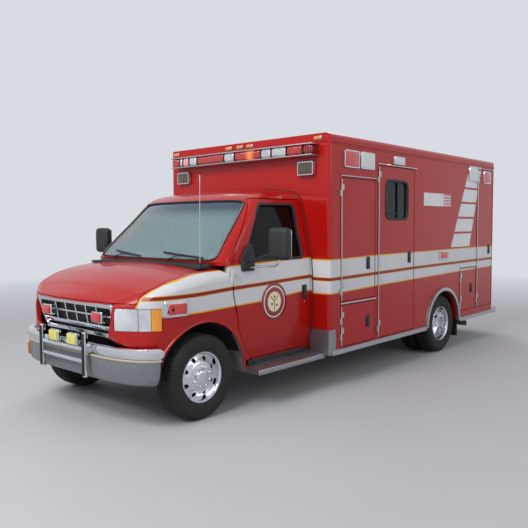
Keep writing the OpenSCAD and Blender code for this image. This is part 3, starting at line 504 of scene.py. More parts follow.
def tube(path, radius, count=12, closed=False, flat=None):
    """A round bar carried along a path. Its section turns with the path and stays square to
    it; flat gives a second radius for an oval bar."""
    path = np.asarray(path, float)
    if closed:
        ahead = np.roll(path, -1, 0) - np.roll(path, 1, 0)
    else:
        ahead = np.gradient(path, axis=0)
    ahead /= np.linalg.norm(ahead, axis=1)[:, None]
    up = np.where(np.abs(ahead[:, 2:]) > 0.95, (1.0, 0, 0), (0, 0, 1.0))
    side = np.cross(ahead, up)
    side /= np.linalg.norm(side, axis=1)[:, None]
    up = np.cross(side, ahead)
    a = np.linspace(0, 2 * math.pi, count, endpoint=False)[None, :, None]
    second = radius if flat is None else flat
    rings = path[:, None] + side[:, None] * np.cos(a) * radius + up[:, None] * np.sin(a) * second
    if not closed:
        return skin(rings)
    points, total = rings.reshape(-1, 3), len(path) * count
    faces = grid_faces(len(path) + 1, count, wrap=True)
    return points, [[i % total for i in face] for face in faces]


def arc(centre, radius, low, high, count, y):
    """Points on an upright arc in the plane at y, between two angles in degrees."""
    a = np.radians(np.linspace(low, high, count))
    return np.column_stack([centre[0] + radius * np.cos(a), np.full(count, y),
                            centre[1] + radius * np.sin(a)])


def nose_side(x):
    """Half width of the fender's flank at x."""
    return between_rows(np.atleast_1d(np.asarray(x, float)), NOSE)[:, 0]


lip = arc((-20, 370), ARCH + 2, 20, 182, 60, 0)
lip[:, 1] = nose_side(lip[:, 0]) - 12
fender_lip = tube(lip, 13, 10)
piece("fender_panels", [fenders, fender_lip, flipped(fender_lip)], cab_red,
      replaces=["front_fenders"])

hood_skin = carve(nose_shell, [prism(grown(HOOD_OUTLINE, -1), HOOD_LIP, 1600, "z")], "INTERSECT")
hood_hinges = [block((-92, y, 1290), (-52, y + 62, 1306)) for y in (-560, 480)]
piece("hood_panel", [hood_skin, *hood_hinges], plain_red, "hood", ["hood"])

# Dark plastic shells hang in the arches over the front tyres and keep the road off the engine.
black_plastic = Finish("black_plastic", tone("18191B"), 0.55)
black_plastic.grain(tone("141517"), tone("202124"), 60).bump(black_plastic.noise(220), 0.0004)
rubber = Finish("black_rubber", tone("141414"), 0.7)
rubber.grain(tone("101010"), tone("1B1B1B"), 30).bump(rubber.noise(90), 0.0005)
outer_arc = arc((-20, 370), 474, 2, 178, 40, 0)
inner_arc = arc((-20, 370), 468, 2, 178, 40, 0)
liner = prism(np.vstack([outer_arc[:, [0, 2]], inner_arc[::-1, [0, 2]]]), 520, 955)
liner = carve(liner, [block((-700, 0, 0), (-300, 1200, 520))])
piece("arch_liners", [liner, flipped(liner)], black_plastic)
splash_grey = Finish("splash_guard", tone("6B6E70"), 0.5)
splash_grey.grain(tone("606365"), tone("7A7D7F"), 12).bump(splash_grey.noise(150), 0.0004)
sweep = [arc((-20, 370), r, 138, 180, 20, 0)[:, [0, 2]] for r in (479, 474)]
splash = prism(np.vstack([sweep[0], [(-499, 336), (-494, 336)], sweep[1][::-1]]), 760, 1000)
piece("splash_guards", [splash, flipped(splash)], splash_grey)

# ---------- Grille ----------
# A chromed surround with an open lattice over a dark radiator screen, whose near-black
# openings are painted shade. Two red flashers hang on its bars.
chrome = Finish("chrome", tone("D6D8DC"), 0.09, 1.0)
chrome.put("Roughness", chrome.noise(14) * 0.05 + 0.03).bump(chrome.noise(30), 0.00008)
dark_mesh = Finish("dark_mesh", tone("0A0A0B"), 0.6)
# Grey strands round near-black squares: the squares are painted shade in the mesh's openings.
weave = (dark_mesh.y.steps(0.012) > 0.35).both(dark_mesh.z.steps(0.012) > 0.35)
dark_mesh.put("Base Color", weave.mix(tone("2A2B2E"), tone("050506"))).bump(1 - weave, 0.002)


def rounded_block(low, high, radius, fine=4):
    """A box with rounded edges: each point is a corner of the inner box plus the radius along
    its direction, the directions running over a sphere with each quadrant's edge repeated."""
    low, high = np.asarray(low, float), np.asarray(high, float)
    centre, reach = (low + high) / 2, (high - low) / 2
    radius = min(radius, reach.min() * 0.98)
    quarter = np.linspace(0, math.pi / 2, fine)
    around = np.concatenate([quarter + k * math.pi / 2 for k in range(4)])
    side = np.repeat([(1, 1), (-1, 1), (-1, -1), (1, -1)], fine, axis=0)
    down = np.concatenate([quarter, quarter + math.pi / 2])
    upper = np.repeat([1, -1], fine)
    across = np.sin(down)[:, None]
    way = np.stack([across * np.cos(around), across * np.sin(around),
                    np.broadcast_to(np.cos(down)[:, None], (2 * fine, 4 * fine))], -1)
    corner = np.stack([np.broadcast_to(side[:, 0], way.shape[:2]),
                       np.broadcast_to(side[:, 1], way.shape[:2]),
                       np.broadcast_to(upper[:, None], way.shape[:2])], -1)
    return skin(centre + corner * (reach - radius) + way * radius)


def ribbon(outline, width, depth, lift=0.0, bulge=0.0):
    """A closed frame: a flat outline in (y, z) with a band of the given width inside it, its
    front face crowned by bulge. It lies in the plane x = 0 and is depth thick."""
    rings = []
    for inward, forward in ((0, -depth), (0, -3), (width * 0.12, bulge * 0.7),
                            (width * 0.5, bulge), (width * 0.88, bulge * 0.7), (width, -3),
                            (width, -depth)):
        flat = grown(outline, -inward)
        rings.append(np.column_stack([np.full(len(flat), forward + lift), flat]))
    rings = np.array(rings).transpose(1, 0, 2)
    points, faces = rings.reshape(-1, 3), grid_faces(len(rings) + 1, rings.shape[1], wrap=True)
    total = len(points)
    return points, [[i % total for i in face] for face in faces]


def softened(outline, radius, fine=4):
    """An outline whose corners are turned into arcs, by quadratic curves through each corner."""
    p = np.asarray(outline, float)
    back, ahead = np.roll(p, 1, 0) - p, np.roll(p, -1, 0) - p
    cut = lambda way: way / np.linalg.norm(way, axis=1)[:, None] * np.minimum(
        radius, 0.45 * np.linalg.norm(way, axis=1))[:, None]
    first, last = p + cut(back), p + cut(ahead)
    t = np.linspace(0, 1, fine)[None, :, None]
    bent = (1 - t) ** 2 * first[:, None] + 2 * t * (1 - t) * p[:, None] + t * t * last[:, None]
    return bent.reshape(-1, 2)


surround = leaned(ribbon(softened(GRILLE_OUTLINE, 40), 44, 40, 0, 9))
bars = [rounded_block((-34, -575, 902), (-8, 575, 920), 6)]
bars += [rounded_block((-32, y - 7, 815), (-12, y + 7, 1000), 5)
         for y in (-330, -165, 0, 165, 330)]
foot_bar = rounded_block((-36, -560, 790), (2, 560, 830), 13)
piece("grille_lattice", [surround] + [leaned(b) for b in bars + [foot_bar]], chrome,
      replaces=["grille"])
# A dark sheet behind the grille stands for the dark radiator, its openings in painted shade.
screen = leaned(prism(grown(GRILLE_OUTLINE, -20), -60, -48, "x"))
piece("radiator_screen", [screen], dark_mesh)

red_lens = Finish("red_lens", tone("C01010"), 0.12, 0.0, Coat_Weight=1.0, Coat_Roughness=0.02,
                  Emission_Strength=0.25)
ribs = (red_lens.x + red_lens.y) * 420 + 0.0
cells = ribs.sine() * (red_lens.z * 420).sine()
red_lens.put("Base Color", (cells * 0.5 + 0.5).mix(tone("8E0A0C"), tone("E0201A")))
red_lens.put("Emission Color", (cells * 0.5 + 0.5).mix(tone("300202"), tone("A0120E")))
red_lens.bump(cells, 0.0012)
clear_lens = Finish("clear_lens", tone("E4E6E8"), 0.1, 0.15, Coat_Weight=1.0,
                    Coat_Roughness=0.02)
flutes = (clear_lens.x + clear_lens.y) * 300
facets = flutes.sine() * (clear_lens.z * 300).sine()
# Grey-to-white blotches over the lens are painted reflections, as if of a reflector behind it; the
# flutes add a faint pattern.
painted_glare_and_flutes = clear_lens.noise(7.0) * 0.75 + facets * 0.1 + 0.1
clear_lens.put("Base Color", painted_glare_and_flutes.mix(tone("85898E"), tone("F0F1F2")))
clear_lens.bump(facets, 0.0007)
amber_lens = Finish("amber_lens", tone("F0900C"), 0.15, 0.0, Coat_Weight=1.0,
                    Coat_Roughness=0.02)
beads = ((amber_lens.x + amber_lens.y) * 400).sine() * (amber_lens.z * 400).sine()
amber_lens.put("Base Color", (beads * 0.5 + 0.5).mix(tone("D86C08"), tone("FFB432")))
amber_lens.bump(beads, 0.001)


def lamp(face, u, z, width, height, out, frame_out=None, tilt=0.0):
    """A lamp on a flat face. Returns its lens and its bezel. face is front, left, right or
    rear, and u the place along that face."""
    outline = softened([(-width / 2, -height / 2), (width / 2, -height / 2),
                        (width / 2, height / 2), (-width / 2, height / 2)], 22)
    bezel = ribbon(outline, 15, 6, out, 5)
    bezel[0][:, 0] = np.where(bezel[0][:, 0] < out - 4, 0, bezel[0][:, 0])
    lens = rounded_block((0.5, -width / 2 + 12, -height / 2 + 12),
                         (out + 8, width / 2 - 12, height / 2 - 12), 10)
    return [turn_to(shape, face, u, z, tilt) for shape in (lens, bezel)]


def turn_to(shape, face, u, z, tilt=0.0):
    """Turns a shape made to face forwards so that it lies on a face of the box."""
    points, faces = shape
    c, s = math.cos(math.radians(tilt)), math.sin(math.radians(tilt))
    out, along, up = points[:, 0], points[:, 1] * c - points[:, 2] * s, \
        points[:, 1] * s + points[:, 2] * c + z
    if face == "front":
        return np.column_stack([BOX_FRONT + out, u + along, up]), faces
    if face == "rear":
        return np.column_stack([BOX_REAR - out, u - along, up]), faces
    side = 1 if face == "left" else -1
    return np.column_stack([u - side * along, side * (HALF + out), up]), faces


BOX_FRONT, BOX_REAR, HALF = -1509, -5673, 1219
grille_flashers = [rounded_block((640, y - 62, 872), (688, y + 62, 948), 12) for y in (-404, 404)]
flasher_frames = [rounded_block((625, y - 74, 862), (672, y + 74, 958), 10) for y in (-404, 404)]
piece("grille_flasher_frames", flasher_frames, chrome)
piece("grille_flasher_lenses", grille_flashers, red_lens)

# ---------- Headlamps and turn lamps ----------
# Clear fluted lenses follow the corner of the nose, with the amber turn lens at their edge.
lamp_shell = carve(nose_solid(2), [nose_solid(60)])


def lamp_slice(x0, x1, y0, y1, low=LAMP_LOW + 4, high=LAMP_HIGH - 4):
    part = carve(lamp_shell, [block((x0, y0, low), (x1, y1, high))], "INTERSECT")
    return [part, flipped(part)]


piece("headlamp_lenses", lamp_slice(330, 760, 637, 812), clear_lens,
      replaces=["front_lamps"])
piece("turn_lamp_lenses", lamp_slice(485, 760, 818, 1000), clear_lens)
piece("turn_lamp_amber", lamp_slice(LAMP_END + 5, 480, 818, 1000), amber_lens)
pocket = carve(nose_solid(12), [block((LAMP_END + 1, 633, LAMP_LOW + 1),
                                      (760, 1005, LAMP_HIGH - 1))], "INTERSECT")
piece("lamp_pockets", [pocket, flipped(pocket)], black_plastic)

yellow_lens = Finish("yellow_lens", tone("F2E24A"), 0.12, 0.0, Coat_Weight=1.0,
                     Coat_Roughness=0.02)
prisms = (yellow_lens.y * 900).sine()
yellow_lens.put("Base Color", (prisms * 0.5 + 0.5).mix(tone("E0C828"), tone("FFF68A")))
yellow_lens.bump(prisms, 0.001)
piece("driving_lamp_lenses", [rounded_block((735, y - 62, 666), (768, y + 62, 754), 8)
                              for y in (-149, 149)], yellow_lens)
piece("driving_lamp_housings", [rounded_block((714, y - 70, 658), (752, y + 70, 762), 12)
                                for y in (-149, 149)], chrome)

# ---------- Bumper and push guard ----------
# One bowed steel bumper, chromed above and grey below, with a pale strip between. The guard's
# two uprights are faced with rubber and tied by two bright bars.
BUMPER_BACK, BUMPER_FRONT, BUMPER_HALF = 408, 712, 1012
GUARD_Y, GUARD_BARS = 346, (640, 540)


def bow(y, inward):
    """How far forward the bumper's face is at y: flat in the middle, rounded at both ends."""
    return BUMPER_BACK - inward + (BUMPER_FRONT - BUMPER_BACK) * (
        1 - (np.abs(y) / (BUMPER_HALF + 2)) ** 4.2) ** (1 / 2.2)


def bumper_sweep(profile):
    """A closed profile of (inward, height) carried along the bow from end to end."""
    s = np.sin(np.linspace(-math.pi / 2, math.pi / 2, 73))
    rings = []
    for inward, z in profile:
        y = s * (BUMPER_HALF - inward)
        rings.append(np.column_stack([bow(y, inward), y, np.full(len(s), z)]))
    return skin(np.array(rings).transpose(1, 0, 2))


chrome_face = bumper_sweep([(60, 688), (22, 690), (8, 684), (1, 668), (0, 645), (2, 622),
                            (9, 606), (18, 602), (60, 602)])
valance = bumper_sweep([(60, 580), (12, 580), (10, 560), (12, 500), (18, 440), (30, 402),
                        (48, 388), (75, 388), (75, 400), (60, 440)])
strip = bumper_sweep([(60, 601), (9, 601), (4, 597), (4, 586), (9, 581), (60, 581)])
piece("bumper_face", [chrome_face], chrome, replaces=["front_bumper"])
grey_valance = Finish("grey_valance", tone("6F7276"), 0.42)
grey_valance.grain(tone("666A6E"), tone("7A7D81"), 25).bump(grey_valance.noise(160), 0.0003)
piece("bumper_valance", [valance], grey_valance)
pale_strip = Finish("pale_strip", tone("B5AC97"), 0.45)
pale_strip.grain(tone("A99F89"), tone("C0B8A4"), 40)
piece("bumper_strip", [strip], pale_strip)
brackets = [block((540, s * 430 - 30, 545), (660, s * 430 + 30, 582)) for s in (-1, 1)]
piece("bumper_brackets", brackets, black_plastic)
along = np.linspace(-915, -790, 9)
tag_rings = [np.column_stack([bow(along, inward), along, np.full(9, z)])
             for inward, z in ((14, 438), (-6, 442), (-8, 455), (-8, 545), (-6, 558), (14, 562))]
piece("bumper_reflector", [skin(np.array(tag_rings).transpose(1, 0, 2))], amber_lens)
uprights = [rounded_block((727, s * GUARD_Y - 20, 408), (768, s * GUARD_Y + 20, 790), 10)
            for s in (-1, 1)]
facings = [rounded_block((756, s * GUARD_Y - 17, 420), (775, s * GUARD_Y + 17, 778), 7)
           for s in (-1, 1)]
stays = [rounded_block((700, s * GUARD_Y - 15, 612), (738, s * GUARD_Y + 15, 648), 4)
         for s in (-1, 1)]
cross = [tube([(751, -GUARD_Y, z), (751, GUARD_Y, z)], 19, 20) for z in GUARD_BARS]
piece("guard_frame", uprights + stays + cross, chrome, replaces=["grille_guard"])
piece("guard_facings", facings, rubber)

# ---------- Cab shell and doors ----------
# Pressed panels of one metal cab: pillars, roof and rear frame, with two doors hung on hinges
# at the front. Round crests on the doors stand over the bands.
WINDOW_OUTLINE = [(-500, 1340), (-842, 1876), (-1320, 1884), (-1350, 1850), (-1360, 1355),
                  (-1345, 1340)]
cab_outer = cab_solid(0)
cab_inner = cab_solid(CAB_WALL, CAB_BACK - 1, 2)
cab_hollow = carve(cab_outer, [cab_inner])
shell = carve(cab_hollow, [
    prism(grown(DOOR_OUTLINE, DOOR_GAP), 730, 1219),
    prism(grown(DOOR_OUTLINE, DOOR_GAP), -1219, -730),
    prism(grown(SCREEN_OUTLINE, 2), -1000, 200, "x"), block((-322, -1219, 0), (200, 1219, 1314)),
    block((-600, -794, 0), (200, 794, 1314)), block((-480, 699.3, -7), (201.3, 1222, 1180.4)),
    block((-480, -1222, -7), (201.3, -699.3, 1180.4)), block((-640, 700, 0), (200, 1219, 735)),
    block((-640, -1219, 0), (200, -700, 735))], solver="MANIFOLD")
piece("cab_shell_panels", [shell], cab_red, replaces=["cab_shell"])

crest = Finish("door_crest", WHITE, 0.35, Coat_Weight=0.6, Coat_Roughness=0.05)
CREST_X, CREST_Z, CREST_R = -0.900 + AXLE, 0.940, 0.182
dx, dz = crest.x - CREST_X, crest.z - CREST_Z
away = crest.start.maths("SQRT", dx * dx + dz * dz)
ring_colour = (away < CREST_R).mix(WHITE, DEEP_RED)
ring_colour = (away < 0.152).mix(ring_colour, tone("E6E2DC"))
ring_colour = (away < 0.140).mix(ring_colour, tone("8C0E0C"))
ring_colour = (away < 0.096).mix(ring_colour, tone("E9DFB9"))
stem = (abs(dx) < 0.007).both(dz < 0.016).both(away < 0.088)
arms = (abs(abs(dx) - dz + 0.002) < 0.0095).both(dz > 0.002).both(away < 0.078)
ring_colour = stem.either(arms).mix(ring_colour, tone("9C7A1E"))
buds = [((-0.034, -0.034), "A02018"), ((0.036, -0.02), "27408C"), ((0.0, 0.048), "A02018")]
for (bud_x, bud_z), shade in buds:
    bx, bz = dx - bud_x, dz - bud_z
    ring_colour = (crest.start.maths("SQRT", bx * bx + bz * bz) < 0.013).mix(ring_colour,
                                                                           tone(shade))
crest.put("Base Color", ring_colour)

door = carve(cab_outer, [prism(DOOR_OUTLINE, 730, 1219)], "INTERSECT")
door = carve(door, [cab_inner, prism(WINDOW_OUTLINE, 0, 1219)])
pane = carve(cab_solid(28), [prism(grown(WINDOW_OUTLINE, -1), 500, 1219)], "INTERSECT")
pane = carve(pane, [cab_solid(36, CAB_BACK - 1, 2)])
# The glass is tinted and so nearly opaque that its near-black colour is painted shade of the cab
# behind it.
door_glass = Finish("door_glass", tone("050607"), 0.03, 0.0, Alpha=0.965,
                    Specular_IOR_Level=0.22)
door_glass.put("Base Color", door_glass.noise(3).mix(tone("040506"), tone("0A0C0E")))


def on_flank(outline, out):
    """Puts a flat (x, z) outline on the cab's leaning left flank, a distance proud of it."""
    flat = np.asarray(outline, float)
    flank, front_y, rear_y = (np.interp(flat[:, 1], CAB[:, 0], CAB[:, i]) for i in (4, 5, 6))
    share = np.clip((flat[:, 0] - CAB_BACK) / (flank - CAB_BACK), 0, 1)
    y = rear_y + (front_y - rear_y) * share
    return np.column_stack([flat[:, 0], y + out, flat[:, 1]])


def flank_strip(outline, width, rise, depth=24):
    """A closed moulding that follows an outline on the flank, widening inwards from it."""
    outline = softened(outline, 45, 5)
    rings = [on_flank(grown(outline, -inward), out) for inward, out in
             ((0, -depth), (0, rise * 0.6), (width * 0.2, rise), (width * 0.8, rise),
              (width, rise * 0.4), (width, -depth))]
    rings = np.array(rings).transpose(1, 0, 2)
    total = rings.shape[0] * rings.shape[1]
    faces = grid_faces(len(rings) + 1, rings.shape[1], wrap=True)
    return rings.reshape(-1, 3), [[i % total for i in face] for face in faces]


window_frame = flank_strip(grown(WINDOW_OUTLINE, 10), 24, 3)
crest_disc = [on_flank([(-900 + r * math.cos(a) * 1000, 940 + r * math.sin(a) * 1000)
                        for a in np.linspace(0, 2 * math.pi, 72, endpoint=False)], out)
              for r, out in ((0.001, 1.8), (0.08, 1.8), (CREST_R - 0.002, 1.8), (CREST_R, 0.6),
                             (CREST_R, -3), (0.001, -3))]
crest_disc = skin(crest_disc)
handle_back = [on_flank([(x, z) for x, z in [(-1400, 925), (-1326, 925), (-1326, 1068),
                                             (-1400, 1068)]], out) for out in (-4, 3)]
handle_grip = [on_flank([(x, z) for x, z in [(-1384, 940), (-1344, 940), (-1344, 1052),
                                             (-1384, 1052)]], out) for out in (-4, 11)]
lock = turned([(0, 985), (9, 985), (11, 1016), (0, 1018)], (-1366, 0, 898), 20)
mirror_base = prism([(-470, 1352), (-500, 1348), (-640, 1348), (-640, 1368), (-596, 1500),
                     (-560, 1470), (-500, 1400)], 905, 1004)
mirror_foot = rounded_block((-640, 930, 1250), (-470, 1013, 1366), 22)
mirror_head = rounded_block((-625, 1235, 1364), (-535, 1470, 1648), 48, 7)
mirror_arms = [tube([(-552, 985, 1288), (-566, 1120, 1296), (-580, 1290, 1310),
                     (-582, 1330, 1330), (-582, 1340, 1372)], 11, 14)]
mirror_neck = tube([(-548, 985, 1330), (-560, 1120, 1372), (-578, 1250, 1415)], 17, 14, flat=12)
mirror_glass = Finish("mirror_glass", tone("C9CED4"), 0.02, 1.0)
mirror_glass.put("Roughness", mirror_glass.noise(8) * 0.02 + 0.015)
mirror_face = rounded_block((-629, 1255, 1384), (-622, 1450, 1628), 3)
hinge_lug = rounded_block((-397, 1003, 1212), (-328, 1018, 1268), 5)
hinge_pin = turned([(0, 1145), (7, 1145), (7, 1275), (0, 1275)], (-327, 1011, 0), 20, "z")

for side in ("left", "right"):
    mine = (lambda shape: shape) if side == "left" else flipped
    body = "cab_door_" + side
    piece(f"cab_door_{side}_panel", [mine(door), mine(hinge_lug), mine(hinge_pin)], cab_red, body,
          [body])
    piece(f"cab_door_{side}_glass", [mine(pane)], door_glass, body)
    piece(f"cab_door_{side}_window_frame", [mine(window_frame)], black_plastic, body)
    piece(f"cab_door_{side}_crest", [mine(crest_disc)], crest, body)
    piece(f"cab_door_{side}_handle", [mine(skin(handle_back)), mine(skin(handle_grip))],
          black_plastic, body, crease=50)
    piece(f"cab_door_{side}_lock", [mine(lock)], chrome, body)
    piece(f"mirror_{side}_housing", [mine(mirror_head), mine(mirror_base), mine(mirror_foot),
                                          mine(mirror_neck)],
          black_plastic, body, crease=45)
    piece(f"mirror_{side}_arms", [mine(arm) for arm in mirror_arms], chrome, body)
    piece(f"mirror_{side}_glass", [mine(mirror_face)], mirror_glass, body)

# ---------- Windscreen, cowl and wipers ----------
# One bowed pane of green glass with a darker band along its top, held in a black rubber gasket
# with a bright insert. Two wipers stand on a black cowl.
screen_glass = Finish("screen_glass", tone("9FC4B8"), 0.02, 0.0, Alpha=0.3, Coat_Weight=1.0,
                      Coat_Roughness=0.01)
high = ((screen_glass.z - 1.70) / 0.14).maths("MINIMUM", (screen_glass.z - 1.70) / 0.14, 1.0)
high = high.either(screen_glass.noise(1.2) * 0.0)
screen_glass.put("Base Color", high.mix(tone("9FBDBF"), tone("33485C")))
screen_glass.put("Alpha", high * 0.42 + 0.32)
z, s = np.meshgrid(np.linspace(1358, 1904, 30), np.linspace(-1, 1, 41), indexing="ij")
half_width = np.interp(z, [1356, 1390, 1865, 1897, 1906], [862, 873, 756, 724, 660])
panes = [screen_point(z, s * half_width, inset) for inset in (3, 9)]
rows, columns = z.shape
edge = [(0, slice(None)), (slice(1, -1), -1), (-1, slice(None, None, -1)), (slice(-2, 0, -1), 0)]
walls = np.stack([np.concatenate([pane_side[i] for i in edge]) for pane_side in panes], 1)
rim_faces = [[i % (2 * len(walls)) for i in face]
             for face in grid_faces(len(walls) + 1, 2)]
sheets = [(pane_side.reshape(-1, 3), grid_faces(rows, columns)) for pane_side in panes]
piece("windshield_glass", sheets + [(walls.reshape(-1, 3), rim_faces)], screen_glass,
      replaces=["windshield"])


def round_screen(grow, lift):
    """A closed path round the windscreen's edge, a distance outside it and proud of it."""
    outline = softened(grown(SCREEN_OUTLINE, grow), 60, 6)
    fine = np.concatenate([np.linspace(a, b, 6, endpoint=False)
                           for a, b in zip(outline, np.roll(outline, -1, 0))])
    keep = np.linalg.norm(fine - np.roll(fine, 1, 0), axis=1) > 0.5
    return screen_point(fine[keep, 1], fine[keep, 0], -lift)


piece("windshield_gasket", [tube(round_screen(4, 1), 15, 8, True, 9)], rubber)
piece("windshield_bright_insert", [tube(round_screen(5, 6), 5.5, 8, True)], chrome)

a = np.linspace(-1, 1, 41)
cowl_rows = []
for x_back, z_at in ((0, 1346), (22, 1332), (42, 1322), (50, 1314), (50, 1300), (0, 1318)):
    y = a * 846
    x = -258 + 118 * (1 - a ** 2) + x_back - 8 * (x_back == 0)
    cowl_rows.append(np.column_stack([x, y, np.full(len(a), z_at) + 4 * (1 - a ** 2)]))
cowl = skin(np.array(cowl_rows).transpose(1, 0, 2))
piece("wiper_cowl", [cowl], black_plastic)


def wiper(pivot_y, tip_y):
    """A wiper: an arm from its pivot up to the middle of a blade that lies along the glass."""
    blade_y = np.linspace(tip_y, tip_y - math.copysign(520, tip_y - pivot_y), 14)
    blade_z = np.linspace(1378, 1420, 14)
    blade = screen_point(blade_z, blade_y, -16)
    arm_y = np.linspace(pivot_y, blade_y[7], 8)
    arm_z = np.linspace(1352, blade_z[7], 8)
    lean = screen_point(arm_z, arm_y, -24)
    return [tube(blade, 5, 8, flat=9), tube(lean, 6, 8)]


piece("wipers", wiper(330, 760) + wiper(-560, -60), black_plastic)
whip = [(-175, 760, 1296), (-176, 760, 1330), (-180, 760, 1700), (-184, 760, 2118)]
piece("aerial", [tube(whip, 3.4, 10)], chrome)
piece("aerial_foot", [turned([(0, 1285), (26, 1285), (24, 1302), (11, 1312), (7, 1340), (0, 1342)],
                             (-175, 760, 0), 24, "z")], black_plastic)

# ---------- Side marker lamps on the fenders ----------
# A red flasher in a bright frame, screwed to each fender across the foot of the bands.
def fender_plate(x0, x1, z0, z1, out):
    """A rounded plate that lies on the fender's flank, out proud of it."""
    flat = softened([(x0, z0), (x1, z0), (x1, z1), (x0, z1)], 16, 5)
    rings = []
    for inward, rise in ((0, -25), (0, out * 0.6), (5, out), (40, out + 1)):
        ring = grown(flat, -inward)
        y = nose_side(np.clip(ring[:, 0], -560, 690))
        rings.append(np.column_stack([ring[:, 0], y + rise, ring[:, 1]]))
    return skin(rings[:1] + rings[1:])


for side in ("left", "right"):
    mine = (lambda shape: shape) if side == "left" else flipped
    piece(f"fender_flasher_{side}_frame", [mine(fender_plate(180, 396, 922, 1056, 16))], chrome)
    piece(f"fender_flasher_{side}_lens", [mine(fender_plate(196, 366, 942, 1036, 27))], red_lens)

# The black rubber seal closes the slot between the cab and the box.
seal_rows = CAB[::2]
seal_path = np.column_stack([np.full(len(seal_rows), -1503), seal_rows[:, 6] - 4,
                             seal_rows[:, 0]])
seal_path = np.vstack([seal_path, [(-1503, 0, 2072)], (seal_path * (1, -1, 1))[::-1]])
piece("cab_seal", [tube(seal_path, 8, 8, flat=8)], rubber)

# ---------- Wheels ----------
# Ribbed highway tyres on pressed steel rims. Polished liners with round hand holes cover the
# rims, and eight capped nuts stand round each hub.
tyre_rubber = Finish("tyre_rubber", tone("161616"), 0.82)
dust = tyre_rubber.noise(7.0)
tyre_rubber.put("Base Color", dust.mix(tone("101011"), tone("232221")))
tyre_rubber.put("Roughness", dust * 0.15 + 0.72).bump(tyre_rubber.noise(160), 0.0004)
dark_steel = Finish("dark_steel", tone("1E1F21"), 0.5, 0.4)
dark_steel.grain(tone("161719"), tone("2B2A29"), 18).bump(dark_steel.noise(60), 0.0005)
TYRE_SECTION = [(0, 205, 80), (1, 228, 88), (1.6, 246, 97), (2.4, 275, 105), (3, 306, 108),
                (4, 338, 101), (5, 358, 86), (5.6, 367, 74), (6, 370, 62), (7, 370.5, 30),
                (8, 371, 0)]
SLOTS, SLOT_STEPS = 60, 6


def tyre(y_at, x_at=0.0):
    """A tyre: its section turned round the axle, with straight grooves cut in the tread, a slot
    across each shoulder every six degrees, and two raised ribs on each sidewall."""
    t = np.concatenate([np.linspace(0, 5, 15)[:-1], np.linspace(5, 8, 26)])
    r, h = between_rows(t, TYRE_SECTION).T
    r, h = np.concatenate([r, r[-2::-1]]), np.concatenate([h, -h[-2::-1]])
    count = SLOTS * SLOT_STEPS
    angle = np.linspace(0, 2 * math.pi, count, endpoint=False)[:, None]
    in_groove = np.zeros(len(h), bool)
    for at in (-40, -13.5, 13.5, 40):
        in_groove |= np.abs(h - at) < 3.4
    slot = (np.arange(count) % SLOT_STEPS < 2)[:, None] & (np.abs(h) > 47)[None] \
        & (r > 352)[None]
    zigzag = 1.6 * np.sin(angle * SLOTS * 0.5)
    radius = r[None] - 9 * in_groove[None] - 6 * slot
    rib = 1.8 * ((np.abs(r - 328) < 4) | (np.abs(r - 252) < 4))
    width = h[None] + np.sign(h)[None] * rib[None] + zigzag * (np.abs(h) < 45)[None]
    points = np.stack([x_at + radius * np.cos(angle), y_at + width,
                       370 + radius * np.sin(angle)], -1)
    points[:, :, 2] = np.maximum(points[:, :, 2], 0)
    total = count * len(h)
    return points.reshape(-1, 3), [[i % total for i in face]
                                   for face in grid_faces(count + 1, len(h), wrap=True)]


def liner_solid(profile, y_at, out, x_at=0.0, thick=5):
    """A thin pressed disc: its profile of (radius, reach) turned round the axle, with a copy
    set back by its thickness behind it."""
    front = np.array(profile, float)
    back = front[::-1] - (0, thick)
    closed = np.vstack([front, back])
    closed[:, 1] *= out
    return turned(closed, (x_at, y_at, 370), 96)


def nuts(count, ring, low, high, y_at, out, x_at=0.0, size=15, start=22.5):
    """Capped six-sided nuts round a hub: a hexagon that closes in a dome."""
    made = []
    for k in range(count):
        a = math.radians(start + 360 * k / count)
        centre = (x_at + ring * math.cos(a), y_at, 370 + ring * math.sin(a))
        reach = high - low
        profile = [(0, low), (size, low), (size, low + reach * 0.55),
                   (size * 0.86, low + reach * 0.72), (size * 0.8, low + reach * 0.86),
                   (size * 0.45, high), (0, high + 1)]
        made.append(turned([(r, h * out) for r, h in profile], centre, 12))
    return made


FRONT_LINER = [(222, 80), (222.5, 88), (219, 92.5), (213, 92), (207, 86), (201, 70), (196, 44),
               (190, 34), (182, 32), (166, 37), (150, 47), (134, 62), (126, 68), (118, 70),
               (106, 70), (98, 72), (92, 74), (72, 74), (64, 74), (62, 84), (58, 91), (50, 95),
               (30, 96.5), (0.5, 97)]
REAR_LINER = [(222, 80), (222.5, 88), (219, 92.5), (213, 92), (207, 86), (202, 70), (199, 0),
              (196, -30), (190, -41), (180, -45), (166, -50), (150, -62), (134, -80), (126, -88),
              (118, -90), (108, -90), (88, -90), (82, -88), (80, -80), (78, -30), (74, -8),
              (66, 0), (40, 2.5), (0.5, 3)]


def hand_holes(reach, y_at, out, x_at=0.0):
    """Eight round cutters through the disc, on a circle of 161 mm round the axle."""
    return [turned([(0, reach * out - 40), (20, reach * out - 40), (20, reach * out + 40),
                    (0, reach * out + 40)],
                   (x_at + 161 * math.cos(a), y_at, 370 + 161 * math.sin(a)), 24)
            for a in np.radians(22.5 + 45 * np.arange(8))]


